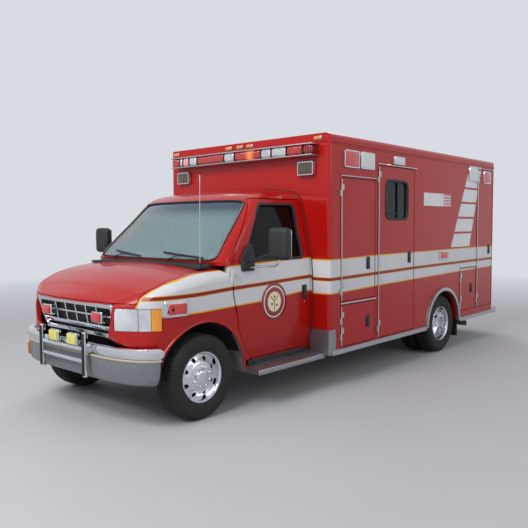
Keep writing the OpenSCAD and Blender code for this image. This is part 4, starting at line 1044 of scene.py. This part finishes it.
REAR_X = -4013
rear_barrel = [(221, -90), (221, -84), (205, -80), (205, 80), (221, 84), (221, 90), (197, 82),
               (197, -82)]
for side, out in (("left", 1), ("right", -1)):
    front, body = 883 * out, "front_wheel_" + side
    piece(f"tyre_front_{side}", [tyre(front)], tyre_rubber, body, [body], crease=28)
    disc = carve(liner_solid(FRONT_LINER, front, out), hand_holes(40, front, out))
    piece(f"wheel_liner_front_{side}", [disc], chrome, body, crease=35)
    piece(f"wheel_nuts_front_{side}", nuts(8, 84, 70, 96, front, out), chrome, body)
    back = turned([(r, h * out) for r, h in
                   [(30, -20), (190, -30), (204, -50), (204, -90), (196, -90), (196, -20),
                    (150, 20), (30, 20)]], (0, front, 370), 64)
    piece(f"wheel_rim_front_{side}", [back], dark_steel, body)
    outer, inner_y, body = 1105 * out, 855 * out, "rear_wheels_" + side
    piece(f"tyres_rear_{side}", [tyre(outer, REAR_X), tyre(inner_y, REAR_X)], tyre_rubber, body,
          [body], crease=28)
    disc = carve(liner_solid(REAR_LINER, outer, out, REAR_X), hand_holes(-50, outer, out, REAR_X))
    piece(f"wheel_liner_rear_{side}", [disc], chrome, body, crease=35)
    piece(f"wheel_nuts_rear_{side}", nuts(8, 102, -92, -64, outer, out, REAR_X), chrome, body)
    dark = [turned([(r, h) for r, h in rear_barrel], (REAR_X, inner_y, 370), 64),
            turned([(r, (h - 20) * out) for r, h in
                    [(44, -100), (190, -100), (197, -112), (204, -84), (203, -20), (196, -30),
                     (190, -78), (44, -78)]], (REAR_X, outer, 370), 64),
            turned([(44, -16), (116, -16), (116, 16), (44, 16)],
                   (REAR_X, (outer + inner_y) / 2, 370), 48)]
    piece(f"wheel_rims_rear_{side}", dark, dark_steel, body)

# ---------- Chassis ----------
# Ladder frame, axles and springs under black chassis paint with road dust; engine and knuckles
# of bare cast iron; a plated tank, shafts and exhaust.
dark_steel.cover("chassis_frame", "front_axle", "rear_axle")
cast_iron = Finish("cast_iron", tone("3A3B3C"), 0.7, 0.5)
cast_iron.grain(tone("303133"), tone("4A4744"), 14).bump(cast_iron.noise(120), 0.001)
cast_iron.cover("engine_block", "knuckle_left", "knuckle_right")
plated = Finish("plated_steel", tone("77756F"), 0.42, 0.8)
stain = plated.noise(6)
plated.put("Base Color", stain.mix(tone("5D5A54"), tone("8F8C86")))
plated.put("Roughness", stain * 0.3 + 0.3).bump(plated.noise(40), 0.0005)
plated.cover("drive_line", "exhaust_pipe", "fuel_tank")
rubber.cover("mud_flaps")

# Chequer plate: raised bars that lie by turns along one diagonal and the other.
chequer = Finish("chequer_plate", tone("B4B6B8"), 0.3, 0.9)
PITCH_MM = 0.036
first = (chequer.x + chequer.y + chequer.z) / PITCH_MM
second = (chequer.x - chequer.y - chequer.z) / PITCH_MM
across, down = first.maths("FRACT", first), second.maths("FRACT", second)
parity = ((first - across) + (second - down)) * 0.5
swap = parity.maths("FRACT", parity) > 0.25
off_a, off_b = abs(across - 0.5), abs(down - 0.5)
bar_a, bar_b = (off_a < 0.36).both(off_b < 0.12), (off_a < 0.12).both(off_b < 0.36)
bars = bar_a.both(swap).either(bar_b.both(1 - swap))
scuff = chequer.noise(11)
# The raised bars are coloured light and the flat between them dark: painted highlight on the bars
# and painted shade between them.
chequer.put("Base Color", bars.mix(tone("85878A"), tone("E4E5E6")))
chequer.put("Roughness", scuff * 0.25 + 0.2).bump(bars, 0.0022)
alloy = Finish("brushed_alloy", tone("B9BBBD"), 0.32, 0.95)
brushed = alloy.start.node("TexNoise", None, {
    "Vector": alloy.start.node("Mapping", None, {"Vector": alloy.place, "Scale": (6, 60, 260)}),
    "Scale": 1.0, "Detail": 2.0})
alloy.put("Roughness", brushed * 0.25 + 0.22).put("Base Color", brushed.mix(tone("A4A6A8"),
                                                                            tone("CBCDCE")))
alloy.bump(brushed, 0.0002)
alloy.cover("skirt_rails")

# ---------- Running boards, rear step and corner guards ----------
# Folded chequer plate: the boards have a rounded nosing, and the guards wrap the box's lower
# front corners.


def tread_plate(x0, x1, y0, y1, top, drop):
    """A folded step: its flat top turns down over a rounded nosing to a short apron."""
    s = 1 if y1 > y0 else -1
    a = np.linspace(0, math.pi / 2, 6)
    nose_y = y1 - s * 14 + s * 14 * np.sin(a)
    nose_z = top - 14 + 14 * np.cos(a)
    inner = np.column_stack([np.append([y0], y1 - s * 14 + s * 11 * np.sin(a)),
                             np.append([top - 3], top - 14 + 11 * np.cos(a))])
    outer = np.column_stack([np.append([y0], nose_y), np.append([top], nose_z)])
    outline = np.vstack([outer, [(y1, top - drop), (y1 - s * 3, top - drop)], inner[::-1]])
    return prism(outline, min(x0, x1), max(x0, x1), "x")


boards, supports = [], []
for s in (1, -1):
    boards += [tread_plate(-1489, -500, s * 948, s * 1170, 365, 45)]
    boards += [prism([(s * 950, 320), (s * 1167, 320), (s * 1167, 362), (s * 950, 362)], x, x + 3,
                     "x") for x in (-1488, -504)]
    supports += [block((x - 60, min(s * 462, s * 1150), 322), (x, max(s * 462, s * 1150), 348))
                 for x in (-700, -1300)]
    supports += [block((x - 60, min(s * 462, s * 490), 325), (x, max(s * 462, s * 490), 500))
                 for x in (-700, -1300)]
piece("running_board_plates", boards, chequer, replaces=["running_boards"])
piece("running_board_brackets", supports, dark_steel)

step_body = carve(rounded_block((-5961, -1160, 310), (-5673, 1160, 395), 12, 5),
                  [block((-5940, -1130, 300), (-5690, 1130, 388))])
step_arms = [block((-5901, s * 430 - 24, 335), (-5553, s * 430 + 24, 385)) for s in (1, -1)]
step_arms += [block((-5603, s * 430 - 24, 335), (-5553, s * 430 + 24, 491)) for s in (1, -1)]
piece("rear_step_plate", [step_body], chequer, replaces=["rear_step"])
piece("rear_step_arms", step_arms, dark_steel)
guard = prism([(-1505, 974), (-1505, 1203), (-1509, 1217), (-1518, 1223), (-1611, 1223),
               (-1611, 1219.5), (-1520, 1219.5), (-1508.5, 1206), (-1508.5, 974)], 345, 602, "z")
piece("corner_guards", [guard, flipped(guard)], chequer)
tip = tube([(-4703, 1130, 296), (-4703, 1200, 294.5), (-4703, 1236, 294)], 36, 24)
tip = carve(tip, [tube([(-4703, 1180, 295), (-4703, 1260, 293.5)], 32, 24)])
piece("tail_pipe_tip", [tip], plated)

# ---------- Patient box ----------
# Sheet aluminium walls under the same red, with a rolled edge along the roof, drip rails over
# the doors and a bright hinge down the front edge of each.


def side_artwork(paint, colour):
    """White reflective blocks on the left wall: a blank name plate that breaks up into checks,
    and a slanted ladder of five rungs behind it."""
    x, z = (paint.x - AXLE) * 1000, paint.z * 1000
    sheet = paint.noise(3).mix(tone("CFCFD0"), tone("E6E6E5"))
    plate = (x < -3476).both(x > -4010).both(z > 1902).both(z < 2064)
    run, climb = (x + z) / 76, (x - z) / 76
    odd = run.maths("FRACT", run).maths("GREATER_THAN", run.maths("FRACT", run), 0.5)
    even = climb.maths("FRACT", climb).maths("GREATER_THAN", climb.maths("FRACT", climb), 0.5)
    checks = abs(odd - even).both(x < -4010).both(x > -4222).both(z > 1902).both(z < 2064)
    rise = z - 1365
    ladder = (x < rise * -0.5076 - 4241).both(x > rise * -0.3408 - 4821)
    ladder = ladder.both(z > 1365).both(z < 2480)
    for gap in (2164, 1963, 1759, 1557):
        ladder = ladder.both(abs(z - gap) > 15)
    return plate.either(checks).either(ladder).mix(colour, sheet)


left_red = red_paint("left_side_paint", artwork=side_artwork)
left_red.cover("box_left_wall", "side_entry_door", "locker_door_front_upper",
               "locker_door_front_lower", "locker_door_rear_lower", "locker_door_rear_tall")
# The glass is tinted and so nearly opaque that its near-black colour is painted shade of the box
# behind it.
pane_finish = Finish("box_window_glass", tone("0C1210"), 0.03, 0.0, Alpha=0.93,
                     Specular_IOR_Level=0.3)
pane_finish.put("Base Color", pane_finish.noise(2.2).mix(tone("070B0A"), tone("1C2A24")))


def glaze(node, low, high):
    """Gives the pane inside a door node its own glass, by where its faces lie."""
    mesh = nodes[node].data
    mesh.materials.append(pane_finish.material)
    centres = np.empty(len(mesh.polygons) * 3)
    mesh.polygons.foreach_get("center", centres)
    centres = (centres.reshape(-1, 3) - (AXLE, 0, 0)) * 1000
    inside = np.all((centres > low) & (centres < high), axis=1)
    mesh.polygons.foreach_set("material_index", inside.astype(np.int32))
    mesh.update()


glaze("side_entry_door", (-3080, 1193, 1725), (-2570, 1203, 2179))
for s, side in ((1, "left"), (-1, "right")):
    low_y, high_y = sorted((s * 90, s * 515))
    glaze("rear_door_" + side, (-5654, low_y, 1739), (-5644, high_y, 2161))


def bare_hinges(node):
    """Leaves the hinge leaves that stand out from a wall or door in bare alloy."""
    mesh = nodes[node].data
    mesh.materials.append(alloy.material)
    centres = np.empty(len(mesh.polygons) * 3)
    mesh.polygons.foreach_get("center", centres)
    centres = (centres.reshape(-1, 3) - (AXLE, 0, 0)) * 1000
    index = np.empty(len(mesh.polygons), np.int32)
    mesh.polygons.foreach_get("material_index", index)
    proud = (np.abs(centres[:, 1]) > HALF + 0.5) | (centres[:, 0] < BOX_REAR - 0.5)
    index[proud] = len(mesh.materials) - 1
    mesh.polygons.foreach_set("material_index", index)
    mesh.update()


for node in ("box_left_wall", "box_right_wall", "box_rear_wall", "side_entry_door",
             "rear_door_left", "rear_door_right", "locker_door_front_upper",
             "locker_door_front_lower", "locker_door_rear_lower", "locker_door_rear_tall",
             "locker_door_right_front", "locker_door_right_rear"):
    bare_hinges(node)


def edge_path(y, z):
    return [(x, y, z) for x in np.linspace(BOX_FRONT - 25, BOX_REAR + 25, 6)]


mouldings = []
for s in (1, -1):
    mouldings += [tube(edge_path(s * 1218, z), 9, 12, flat=8) for z in (2486, 2506)]
mouldings.append(tube([(BOX_FRONT - 1, y, 2506) for y in np.linspace(-1190, 1190, 6)], 8, 12))
piece("roof_edge_mouldings", mouldings, plain_red)

RAILS = [(-1682, -2361, 2175), (-2390, -3278, 2340), (-5050, -5645, 2462), (-1690, -2368, 857),
         (-4540, -5060, 1088)]


def drip_rail(x0, x1, z, s):
    """A small bright gutter: an open hook section drawn along the wall."""
    hook = np.array([(0, 7), (11, 5), (15, 1), (15, -5), (12, -6), (11, -1), (0, 2)], float)
    return prism(np.column_stack([s * (HALF - 1 + hook[:, 0]), z + hook[:, 1]]), x1, x0, "x")


rails = [drip_rail(x0, x1, z, 1) for x0, x1, z in RAILS]
rails += [drip_rail(-1682, -2361, 2175, -1), drip_rail(-5050, -5645, 2462, -1)]
piece("drip_rails", rails, chrome)

DOORS = [("locker_door_front_upper", 1, -1709, 650, 880, 2150, (-2215, 1256)),
         ("locker_door_front_lower", 1, -1709, 650, 408, 835, (-2211, 623)),
         ("locker_door_rear_lower", 1, -4540, 516, 485, 1070, (-4893, 773)),
         ("locker_door_rear_tall", 1, -5078, 533, 485, 2440, (-5494, 1302)),
         ("side_entry_door", 1, -2425, 812, 408, 2322, (-3118, 1282)),
         ("locker_door_right_front", -1, -1709, 650, 485, 2150, (-2215, 1256)),
         ("locker_door_right_rear", -1, -5078, 533, 485, 2440, (-5494, 1302))]


def paddle(face, u, z):
    """A black paddle latch: a dished plate with a lever standing in it."""
    plate = turn_to(rounded_block((-2, -36, -68), (5, 36, 68), 5), face, u, z)
    lever = turn_to(rounded_block((2, -20, -52), (14, 20, 30), 7), face, u, z)
    return [plate, lever]


for name, s, front_x, width, low, high, latch in DOORS:
    face = "left" if s > 0 else "right"
    barrel_hinge = tube([(front_x + 4, s * 1227, z) for z in (low + 8, (low + high) / 2,
                                                             high - 8)], 6.4, 16)
    piece(name + "_hinge_barrel", [barrel_hinge], alloy, name)
    piece(name + "_latch", paddle(face, *latch), black_plastic, name, crease=45)
    ring = [(-width / 2 + 3, low + 3), (width / 2 - 3, low + 3), (width / 2 - 3, high - 3),
            (-width / 2 + 3, high - 3)]
    trim = ribbon(softened(ring, 14), 11, 3.5, 0, 2.2)
    piece(name + "_edge_trim", [turn_to(trim, face, front_x - width / 2, 0)], plain_red, name)

window_ring = ribbon(softened([(-262, -234), (262, -234), (262, 234), (-262, 234)], 105, 7), 34,
                     30, 3, 8)
window_parts = [turn_to(window_ring, "left", -2825, 1952)]
window_parts += [turn_to(rounded_block((-14, -9, -216), (2, 9, 216), 4), "left", -2847, 1952),
                 turn_to(rounded_block((-12, -225, -6), (0, 0, 6), 3), "left", -2830, 1800)]
piece("entry_door_window_frame", window_parts, black_plastic, "side_entry_door")
for s, side in ((1, "left"), (-1, "right")):
    rear_ring = ribbon(softened([(-218, -218), (218, -218), (218, 218), (-218, 218)], 75, 6), 28,
                       18, 3, 8)
    body = "rear_door_" + side
    piece(f"rear_window_frame_{side}", [turn_to(rear_ring, "rear", s * 302.5, 1950)],
          black_plastic, body)
    piece(f"rear_door_latch_{side}", paddle("rear", s * 62, 1240), black_plastic, body,
          crease=45)
    grab = [(-5673, s * 60, 1420), (-5715, s * 60, 1430), (-5722, s * 60, 1500),
            (-5722, s * 60, 1600), (-5715, s * 60, 1670), (-5673, s * 60, 1680)]
    piece(f"rear_door_grab_bar_{side}", [tube(grab, 11, 12)], chrome, body)
    piece(f"rear_door_hinge_barrels_{side}", [tube([(-5681, s * 610, z) for z in
                                                    (760, 1500, 2275)], 6.4, 16)], alloy, body)
kick = [turn_to(rounded_block((-1, -296, -70), (3, 296, 70), 2), "rear", s * 302, 850)
        for s in (1, -1)]
for s, side, plate in ((1, "left", kick[0]), (-1, "right", kick[1])):
    piece(f"rear_door_kick_plate_{side}", [plate], chequer, "rear_door_" + side)

# ---------- Lamps on the box ----------
# Ribbed lenses in bright bezels: red flashers and white work lamps high on each side, floods
# over the cab, tail lamps at the back.
red_cells, white_cells, bezels, amber_cells = [], [], [], []


def fit(cells, face, u, z, width, height, out=20):
    lens, bezel = lamp(face, u, z, width, height, out)
    cells.append(lens)
    bezels.append(bezel)


for face in ("left", "right"):
    fit(red_cells, face, -1876, 2350, 275, 182)
    fit(white_cells, face, -2173, 2352, 275, 182)
    fit(white_cells, face, -2843, 2402, 245, 92)
    fit(white_cells, face, -4889, 2362, 280, 186)
    if face == "left":
        fit(red_cells, face, -4016, 1270, 250, 110)
for s in (1, -1):
    fit(red_cells, "rear", s * 900, 2420, 275, 150)
    fit(red_cells, "rear", s * 900, 1000, 240, 150)
    fit(amber_cells, "rear", s * 900, 820, 240, 150)
fit(red_cells, "right", -4016, 1270, 250, 110)
piece("box_lamps_red_lenses", red_cells, red_lens, replaces=["box_lamps"])
white_lens = Finish("work_lamp_lens", tone("D8DAD6"), 0.16, 0.0, Coat_Weight=1.0,
                    Coat_Roughness=0.03)
rows_of = (white_lens.z * 520).sine() * ((white_lens.x + white_lens.y) * 520).sine()
white_lens.put("Base Color", (rows_of * 0.5 + 0.5).mix(tone("BDC0BB"), tone("E9EAE6")))
white_lens.bump(rows_of, 0.0009)
piece("box_lamps_white_lenses", white_cells, white_lens)
piece("box_lamps_amber_lenses", amber_cells, amber_lens)
piece("box_lamps_bezels", bezels, chrome)
for name, face in (("locker_door_rear_tall", "left"), ("locker_door_right_rear", "right")):
    lens, bezel = lamp(face, -5375, 2343, 250, 180, 18)
    piece(name + "_flasher_lens", [lens], red_lens, name)
    piece(name + "_flasher_bezel", [bezel], chrome, name)

flood_glass = Finish("flood_glass", tone("4A4436"), 0.06, 0.55, Coat_Weight=1.0,
                     Coat_Roughness=0.02)
glint = (flood_glass.z * 300).sine()
flood_glass.put("Base Color", (glint * 0.5 + 0.5).mix(tone("3A3426"), tone("6A6048")))
flood_glass.bump(glint, 0.0008)
shells, panes = [], []
for s in (1, -1):
    shells.append(turn_to(rounded_block((0, -102, -70), (44, 102, 70), 10), "front", s * 946,
                          2246))
    shells.append(turn_to(ribbon(softened([(-102, -70), (102, -70), (102, 70), (-102, 70)], 14),
                                 13, 14, 52, 4), "front", s * 946, 2246))
    panes.append(turn_to(rounded_block((40, -88, -56), (49, 88, 56), 4), "front", s * 946, 2246))
piece("flood_lamp_housings", shells, chrome)
piece("flood_lamp_glass", panes, flood_glass)

# ---------- Light bar ----------
# Coloured lens modules between two drawn aluminium rails on a red base, across the box's
# front. One red module is lit.
SEGMENTS = [(-1074, -935, "red"), (-928, -880, "clear"), (-872, -770, "pink"),
            (-762, -628, "clear"), (-620, -176, "red"), (-168, -8, "clear"), (0, 384, "red"),
            (392, 534, "clear"), (542, 744, "clear"), (752, 958, "red"), (966, 1074, "deep")]
pink_lens = Finish("pink_lens", tone("E79A96"), 0.15, 0.0, Coat_Weight=1.0, Coat_Roughness=0.02)
pink_lens.grain(tone("DC8684"), tone("F2B4AE"), 25)
bar_red = Finish("bar_red_lens", tone("B80C0A"), 0.1, 0.0, Coat_Weight=1.0, Coat_Roughness=0.02,
                 Emission_Strength=0.8)
ribs_along = (bar_red.y * 500).sine()
bar_red.put("Base Color", (ribs_along * 0.5 + 0.5).mix(tone("8E0908"), tone("C8120E")))
spot = bar_red.start.maths("MULTIPLY", (abs(bar_red.y - 0.235) * -14 + 1).either(bar_red.y * 0.0),
                           1.0)
bar_red.put("Emission Color", spot.mix(tone("1A0000"), tone("FFA030")))
bar_red.bump(ribs_along, 0.001)
deep_red = Finish("bar_end_cap", tone("7C0B0A"), 0.3, Coat_Weight=0.8, Coat_Roughness=0.05)
deep_red.grain(tone("6F0A09"), tone("8C0D0B"), 12)
by_colour = {"red": [], "clear": [], "pink": [], "deep": []}
for y0, y1, colour in SEGMENTS:
    by_colour[colour].append(rounded_block((-1500, y0, 2380), (-1386, y1, 2476), 26, 5))
piece("light_bar_red_lenses", by_colour["red"], bar_red, replaces=["light_bar"])
piece("light_bar_clear_lenses", by_colour["clear"], clear_lens)
piece("light_bar_pink_lens", by_colour["pink"], pink_lens)
piece("light_bar_end_cap", by_colour["deep"], deep_red)
dividers = [rounded_block((-1502, y - 5, 2374), (-1388, y + 5, 2482), 4)
            for y in (-931, -876, -766, -624, -172, -4, 388, 538, 748, 962)]
bar_rails = [rounded_block((-1508, -1078, 2476), (-1381, 1078, 2491), 6),
             rounded_block((-1508, -1078, 2365), (-1381, 1078, 2380), 6)]
piece("light_bar_rails", bar_rails, alloy)
piece("light_bar_dividers", dividers, black_plastic)
base_strip = rounded_block((-1509, -1070, 2380), (-1494, 1070, 2476), 4)
piece("light_bar_base", [base_strip], deep_red)

markers, marker_rims = [], []
for y in (-1116, -200, -24, 130, 1071):
    markers.append(rounded_block((-1506, y - 40, 2534), (-1484, y + 40, 2560), 9))
    marker_rims.append(rounded_block((-1509, y - 47, 2529), (-1499, y + 47, 2565), 4))
piece("clearance_lamp_lenses", markers, amber_lens)
piece("clearance_lamp_bases", marker_rims, chrome)

# ---------- Inside the cab ----------
# A grained dashboard and wheel, a ribbed rubber floor, and two upholstered seats with sewn
# channels.
dashboard_skin = Finish("dashboard_skin", tone("3A3B3E"), 0.62)
leather_pits = dashboard_skin.start.node("TexVoronoi", None, {"Vector": dashboard_skin.place,
                                                              "Scale": 320.0})
dashboard_skin.grain(tone("333437"), tone("424347"), 20).bump(leather_pits, 0.0006)
dashboard_skin.cover("dashboard")
wheel_grip = Finish("steering_wheel_grip", tone("232426"), 0.5)
wheel_grip.grain(tone("1C1D1F"), tone("2C2D30"), 40).bump(wheel_grip.noise(300), 0.0003)
wheel_grip.cover("steering_wheel")
floor_rubber = Finish("ribbed_floor", tone("2B2C2E"), 0.75)
floor_rib = (floor_rubber.y * 260).sine()
floor_rubber.put("Base Color", floor_rubber.noise(8).mix(tone("242527"), tone("353639")))
floor_rubber.bump(floor_rib, 0.0012)
floor_rubber.cover("cab_floor")
vinyl_floor = Finish("vinyl_floor", tone("5B6068"), 0.45)
flakes = vinyl_floor.noise(240, 1.0) > 0.58
vinyl_floor.put("Base Color", flakes.mix(tone("585D65"), tone("7C828A")))
vinyl_floor.put("Roughness", vinyl_floor.noise(5) * 0.2 + 0.35)
vinyl_floor.cover("box_floor")
chequer.cover("entry_step")
cupboard = Finish("cupboard_laminate", tone("C9C8C2"), 0.35, Coat_Weight=0.3,
                  Coat_Roughness=0.2)
cupboard.grain(tone("C3C2BC"), tone("D2D1CB"), 3).bump(cupboard.noise(180), 0.0002)
cupboard.cover("cabinets")
seat_cloth = Finish("seat_cloth", tone("3B3D42"), 0.9)
weave_a = ((seat_cloth.x + seat_cloth.z) * 1500).sine()
weave_b = ((seat_cloth.y + seat_cloth.z) * 1500).sine()
seat_cloth.put("Base Color", (weave_a * weave_b * 0.5 + 0.5).mix(tone("2F3136"), tone("494C52")))
seat_cloth.bump(weave_a * weave_b, 0.0005)


def bake_modifiers(thing):
    """Turns a piece with live modifiers into its finished mesh."""
    bpy.context.view_layer.update()
    graph = bpy.context.evaluated_depsgraph_get()
    mesh = bpy.data.meshes.new_from_object(thing.evaluated_get(graph))
    thing.modifiers.clear()
    thing.data = mesh


def cushion(name, low, high, radius, finish, replaces=(), lean=0.0, cap=14.0, channels="y",
            pitch=92.0):
    """A padded form. A rounded block is remeshed, blown up a little by cloth pressure with each
    point held within cap millimetres, then channels are pressed in: a shallow groove every
    pitch millimetres across the named axis. lean tips it back, in degrees, about its foot."""
    low, high = np.asarray(low, float), np.asarray(high, float)
    shape = rounded_block(low + cap * 0.45, high - cap * 0.45, radius, 6)
    thing = piece(name, [shape], finish, replaces=replaces)
    remesh = thing.modifiers.new("remesh", "REMESH")
    remesh.mode, remesh.voxel_size = "VOXEL", 0.011 if np.max(high - low) < 900 else 0.018
    bake_modifiers(thing)
    count = len(thing.data.vertices)
    start = np.empty(count * 3)
    thing.data.vertices.foreach_get("co", start)
    start = start.reshape(-1, 3)
    cloth = thing.modifiers.new("cloth", "CLOTH")
    cloth.settings.use_pressure = True
    cloth.settings.uniform_pressure_force = 4.0
    cloth.settings.effector_weights.gravity = 0.0
    for number in range(1, 21):
        bpy.context.scene.frame_set(number)
    bake_modifiers(thing)
    bpy.context.scene.frame_set(1)
    grown_to = np.empty(count * 3)
    thing.data.vertices.foreach_get("co", grown_to)
    move = grown_to.reshape(-1, 3) - start
    far = np.linalg.norm(move, axis=1)[:, None]
    points = start + move * np.minimum(1, cap / 1000 / np.maximum(far, 1e-9))
    points = (points - (AXLE, 0, 0)) * 1000
    axis = {"x": 0, "y": 1, "z": 2}[channels]
    middle = (low + high) / 2
    phase = (points[:, axis] - middle[axis]) / pitch
    groove = np.exp(-((phase - np.round(phase)) * pitch / 7) ** 2)
    thin = int(np.argmin(high - low))
    outward = np.sign(points[:, thin] - middle[thin])
    face = np.clip(np.abs(points[:, thin] - middle[thin]) / (high - low)[thin] * 4 - 1, 0, 1)
    points[:, thin] -= outward * face * groove * 7
    c, s = math.cos(math.radians(lean)), math.sin(math.radians(lean))
    x, z = points[:, 0] - middle[0], points[:, 2] - low[2]
    points[:, 0], points[:, 2] = middle[0] + x * c - z * s, low[2] + x * s + z * c
    thing.data.vertices.foreach_set("co", place(points).ravel())
    thing.data.update()
    thing.data.shade_smooth()
    smooth = thing.modifiers.new("smooth", "SUBSURF")
    smooth.levels = smooth.render_levels = 1
    return thing


for s, side in ((1, "left"), (-1, "right")):
    y = 440 * s
    cushion(f"cab_seat_{side}_cushion", (-1440, y - 240, 962), (-940, y + 240, 1108), 55,
            seat_cloth, ["cab_seats"] if s > 0 else (), cap=12)
    cushion(f"cab_seat_{side}_back", (-1440, y - 232, 1112), (-1335, y + 232, 1565), 48,
            seat_cloth, lean=5, cap=10)
    cushion(f"cab_seat_{side}_head_rest", (-1478, y - 128, 1568), (-1394, y + 128, 1736), 36,
            seat_cloth, cap=6, pitch=400)
seat_stands = [rounded_block((-1395, y - 135, 741), (-1015, y + 135, 960), 20)
               for y in (-440, 440)]
seat_posts = [tube([(-1430, y + dy, 1540), (-1435, y + dy, 1590)], 7, 10)
              for y in (-440, 440) for dy in (-60, 60)]
piece("cab_seat_stands", seat_stands + seat_posts, black_plastic)

# ---------- Inside the box ----------
# A bench along the right wall with a blue vinyl pad and back, over white laminate cupboards.
bench_vinyl = Finish("bench_vinyl", tone("25324A"), 0.42)
creases = bench_vinyl.start.node("TexVoronoi", None, {"Vector": bench_vinyl.place,
                                                      "Scale": 240.0})
bench_vinyl.grain(tone("202B40"), tone("2E3C57"), 6).bump(creases, 0.0005)
cushion("bench_pad", (-4610, -1159, 1121), (-2890, -619, 1209), 36, bench_vinyl,
        ["bench_seat"], cap=7, channels="x", pitch=430)
cushion("bench_back", (-4610, -1168, 1221), (-2890, -1110, 1579), 24, bench_vinyl,
        cap=5, channels="x", pitch=430)

# ---------- Floor, light and camera ----------
# A pale matt floor under soft studio lamps; the camera stands at the left front corner.
stage = bpy.data.objects.new("studio_floor", bpy.data.meshes.new("studio_floor"))
stage.data.from_pydata([(-60, -60, 0), (60, -60, 0), (60, 60, 0), (-60, 60, 0)], [],
                       [(0, 1, 2, 3)])
bpy.context.scene.collection.objects.link(stage)
floor_finish = Finish("studio_floor", tone("BDBDC0"), 0.6)
floor_finish.grain(tone("B9B9BC"), tone("C1C1C4"), 0.8)
distance = floor_finish.start.maths("SQRT", floor_finish.x * floor_finish.x
                                    + floor_finish.y * floor_finish.y)
fade = floor_finish.start.maths("MINIMUM", ((distance - 5.5) / 9).either(distance * 0.0), 1.0)
haze = fade.node("Emission", None, {"Color": tone("D8DCE2"), "Strength": 1.0})
body_of_floor = Field(floor_finish.tree, floor_finish.shader.outputs[0])
faded = fade.node("MixShader", None, {0: fade, 1: body_of_floor, 2: haze})
surface = floor_finish.tree.nodes["Material Output"].inputs["Surface"]
floor_finish.tree.links.new(faded.socket, surface)
stage.data.materials.append(floor_finish.material)

world = bpy.data.worlds.new("studio")
bpy.context.scene.world = world
world.use_nodes = True
world.node_tree.nodes.clear()
sky = Field(world.node_tree)
ray = [sky.node("LightPath", out=name).socket for name in
       ("Is Camera Ray", "Is Glossy Ray", "Is Transmission Ray")]
seen = Field(world.node_tree, ray[0]).either(Field(world.node_tree, ray[1]))
seen = seen.either(Field(world.node_tree, ray[2]))
lit = sky.node("Background", None, {"Color": tone("C6CBD4"), "Strength": 0.62})
shown = sky.node("Background", None, {"Color": tone("D8DCE2"), "Strength": 1.0})
blend = sky.node("MixShader", None, {0: seen, 1: lit, 2: shown})
out = world.node_tree.nodes.new("ShaderNodeOutputWorld")
world.node_tree.links.new(blend.socket, out.inputs["Surface"])


def soft_lamp(name, position, target, size, power):
    """A square area lamp that faces its target."""
    light = bpy.data.lights.new(name, "AREA")
    light.size, light.energy = size, power
    thing = bpy.data.objects.new(name, light)
    ray_way = np.asarray(target, float) - position
    thing.location = position
    thing.rotation_euler = mathutils.Vector(ray_way).to_track_quat("-Z", "Y").to_euler()
    bpy.context.scene.collection.objects.link(thing)


soft_lamp("key_lamp", (9.0, 1.0, 7.5), (0, 0, 1.2), 5.0, 760)
soft_lamp("side_lamp", (-1.0, 10.0, 6.0), (0, 0, 1.2), 7.0, 230)
soft_lamp("back_lamp", (-8.0, -7.0, 7.0), (0, 0, 1.2), 6.0, 420)

# The camera stands ahead of the left front corner, near a standing person's eye height.
YAW, PITCH, ROLL = 3.8741, -0.0624, -0.0051
ahead = np.array([math.cos(PITCH) * math.cos(YAW), math.cos(PITCH) * math.sin(YAW),
                  math.sin(PITCH)])
level = np.cross(ahead, (0, 0, 1.0))
level /= np.linalg.norm(level)
upward = np.cross(level, ahead)
right = level * math.cos(ROLL) + upward * math.sin(ROLL)
up = -level * math.sin(ROLL) + upward * math.cos(ROLL)
turn = mathutils.Matrix(np.column_stack([right, up, -ahead]).tolist()).to_4x4()
camera = bpy.data.objects.new("camera", bpy.data.cameras.new("camera"))
camera.data.lens, camera.data.sensor_width = 42.18, 36.0
camera.matrix_world = mathutils.Matrix.Translation((6.1365, 4.8745, 1.6689)) @ turn
bpy.context.scene.collection.objects.link(camera)
bpy.context.scene.camera = camera
bpy.context.scene.view_settings.view_transform = "Standard"
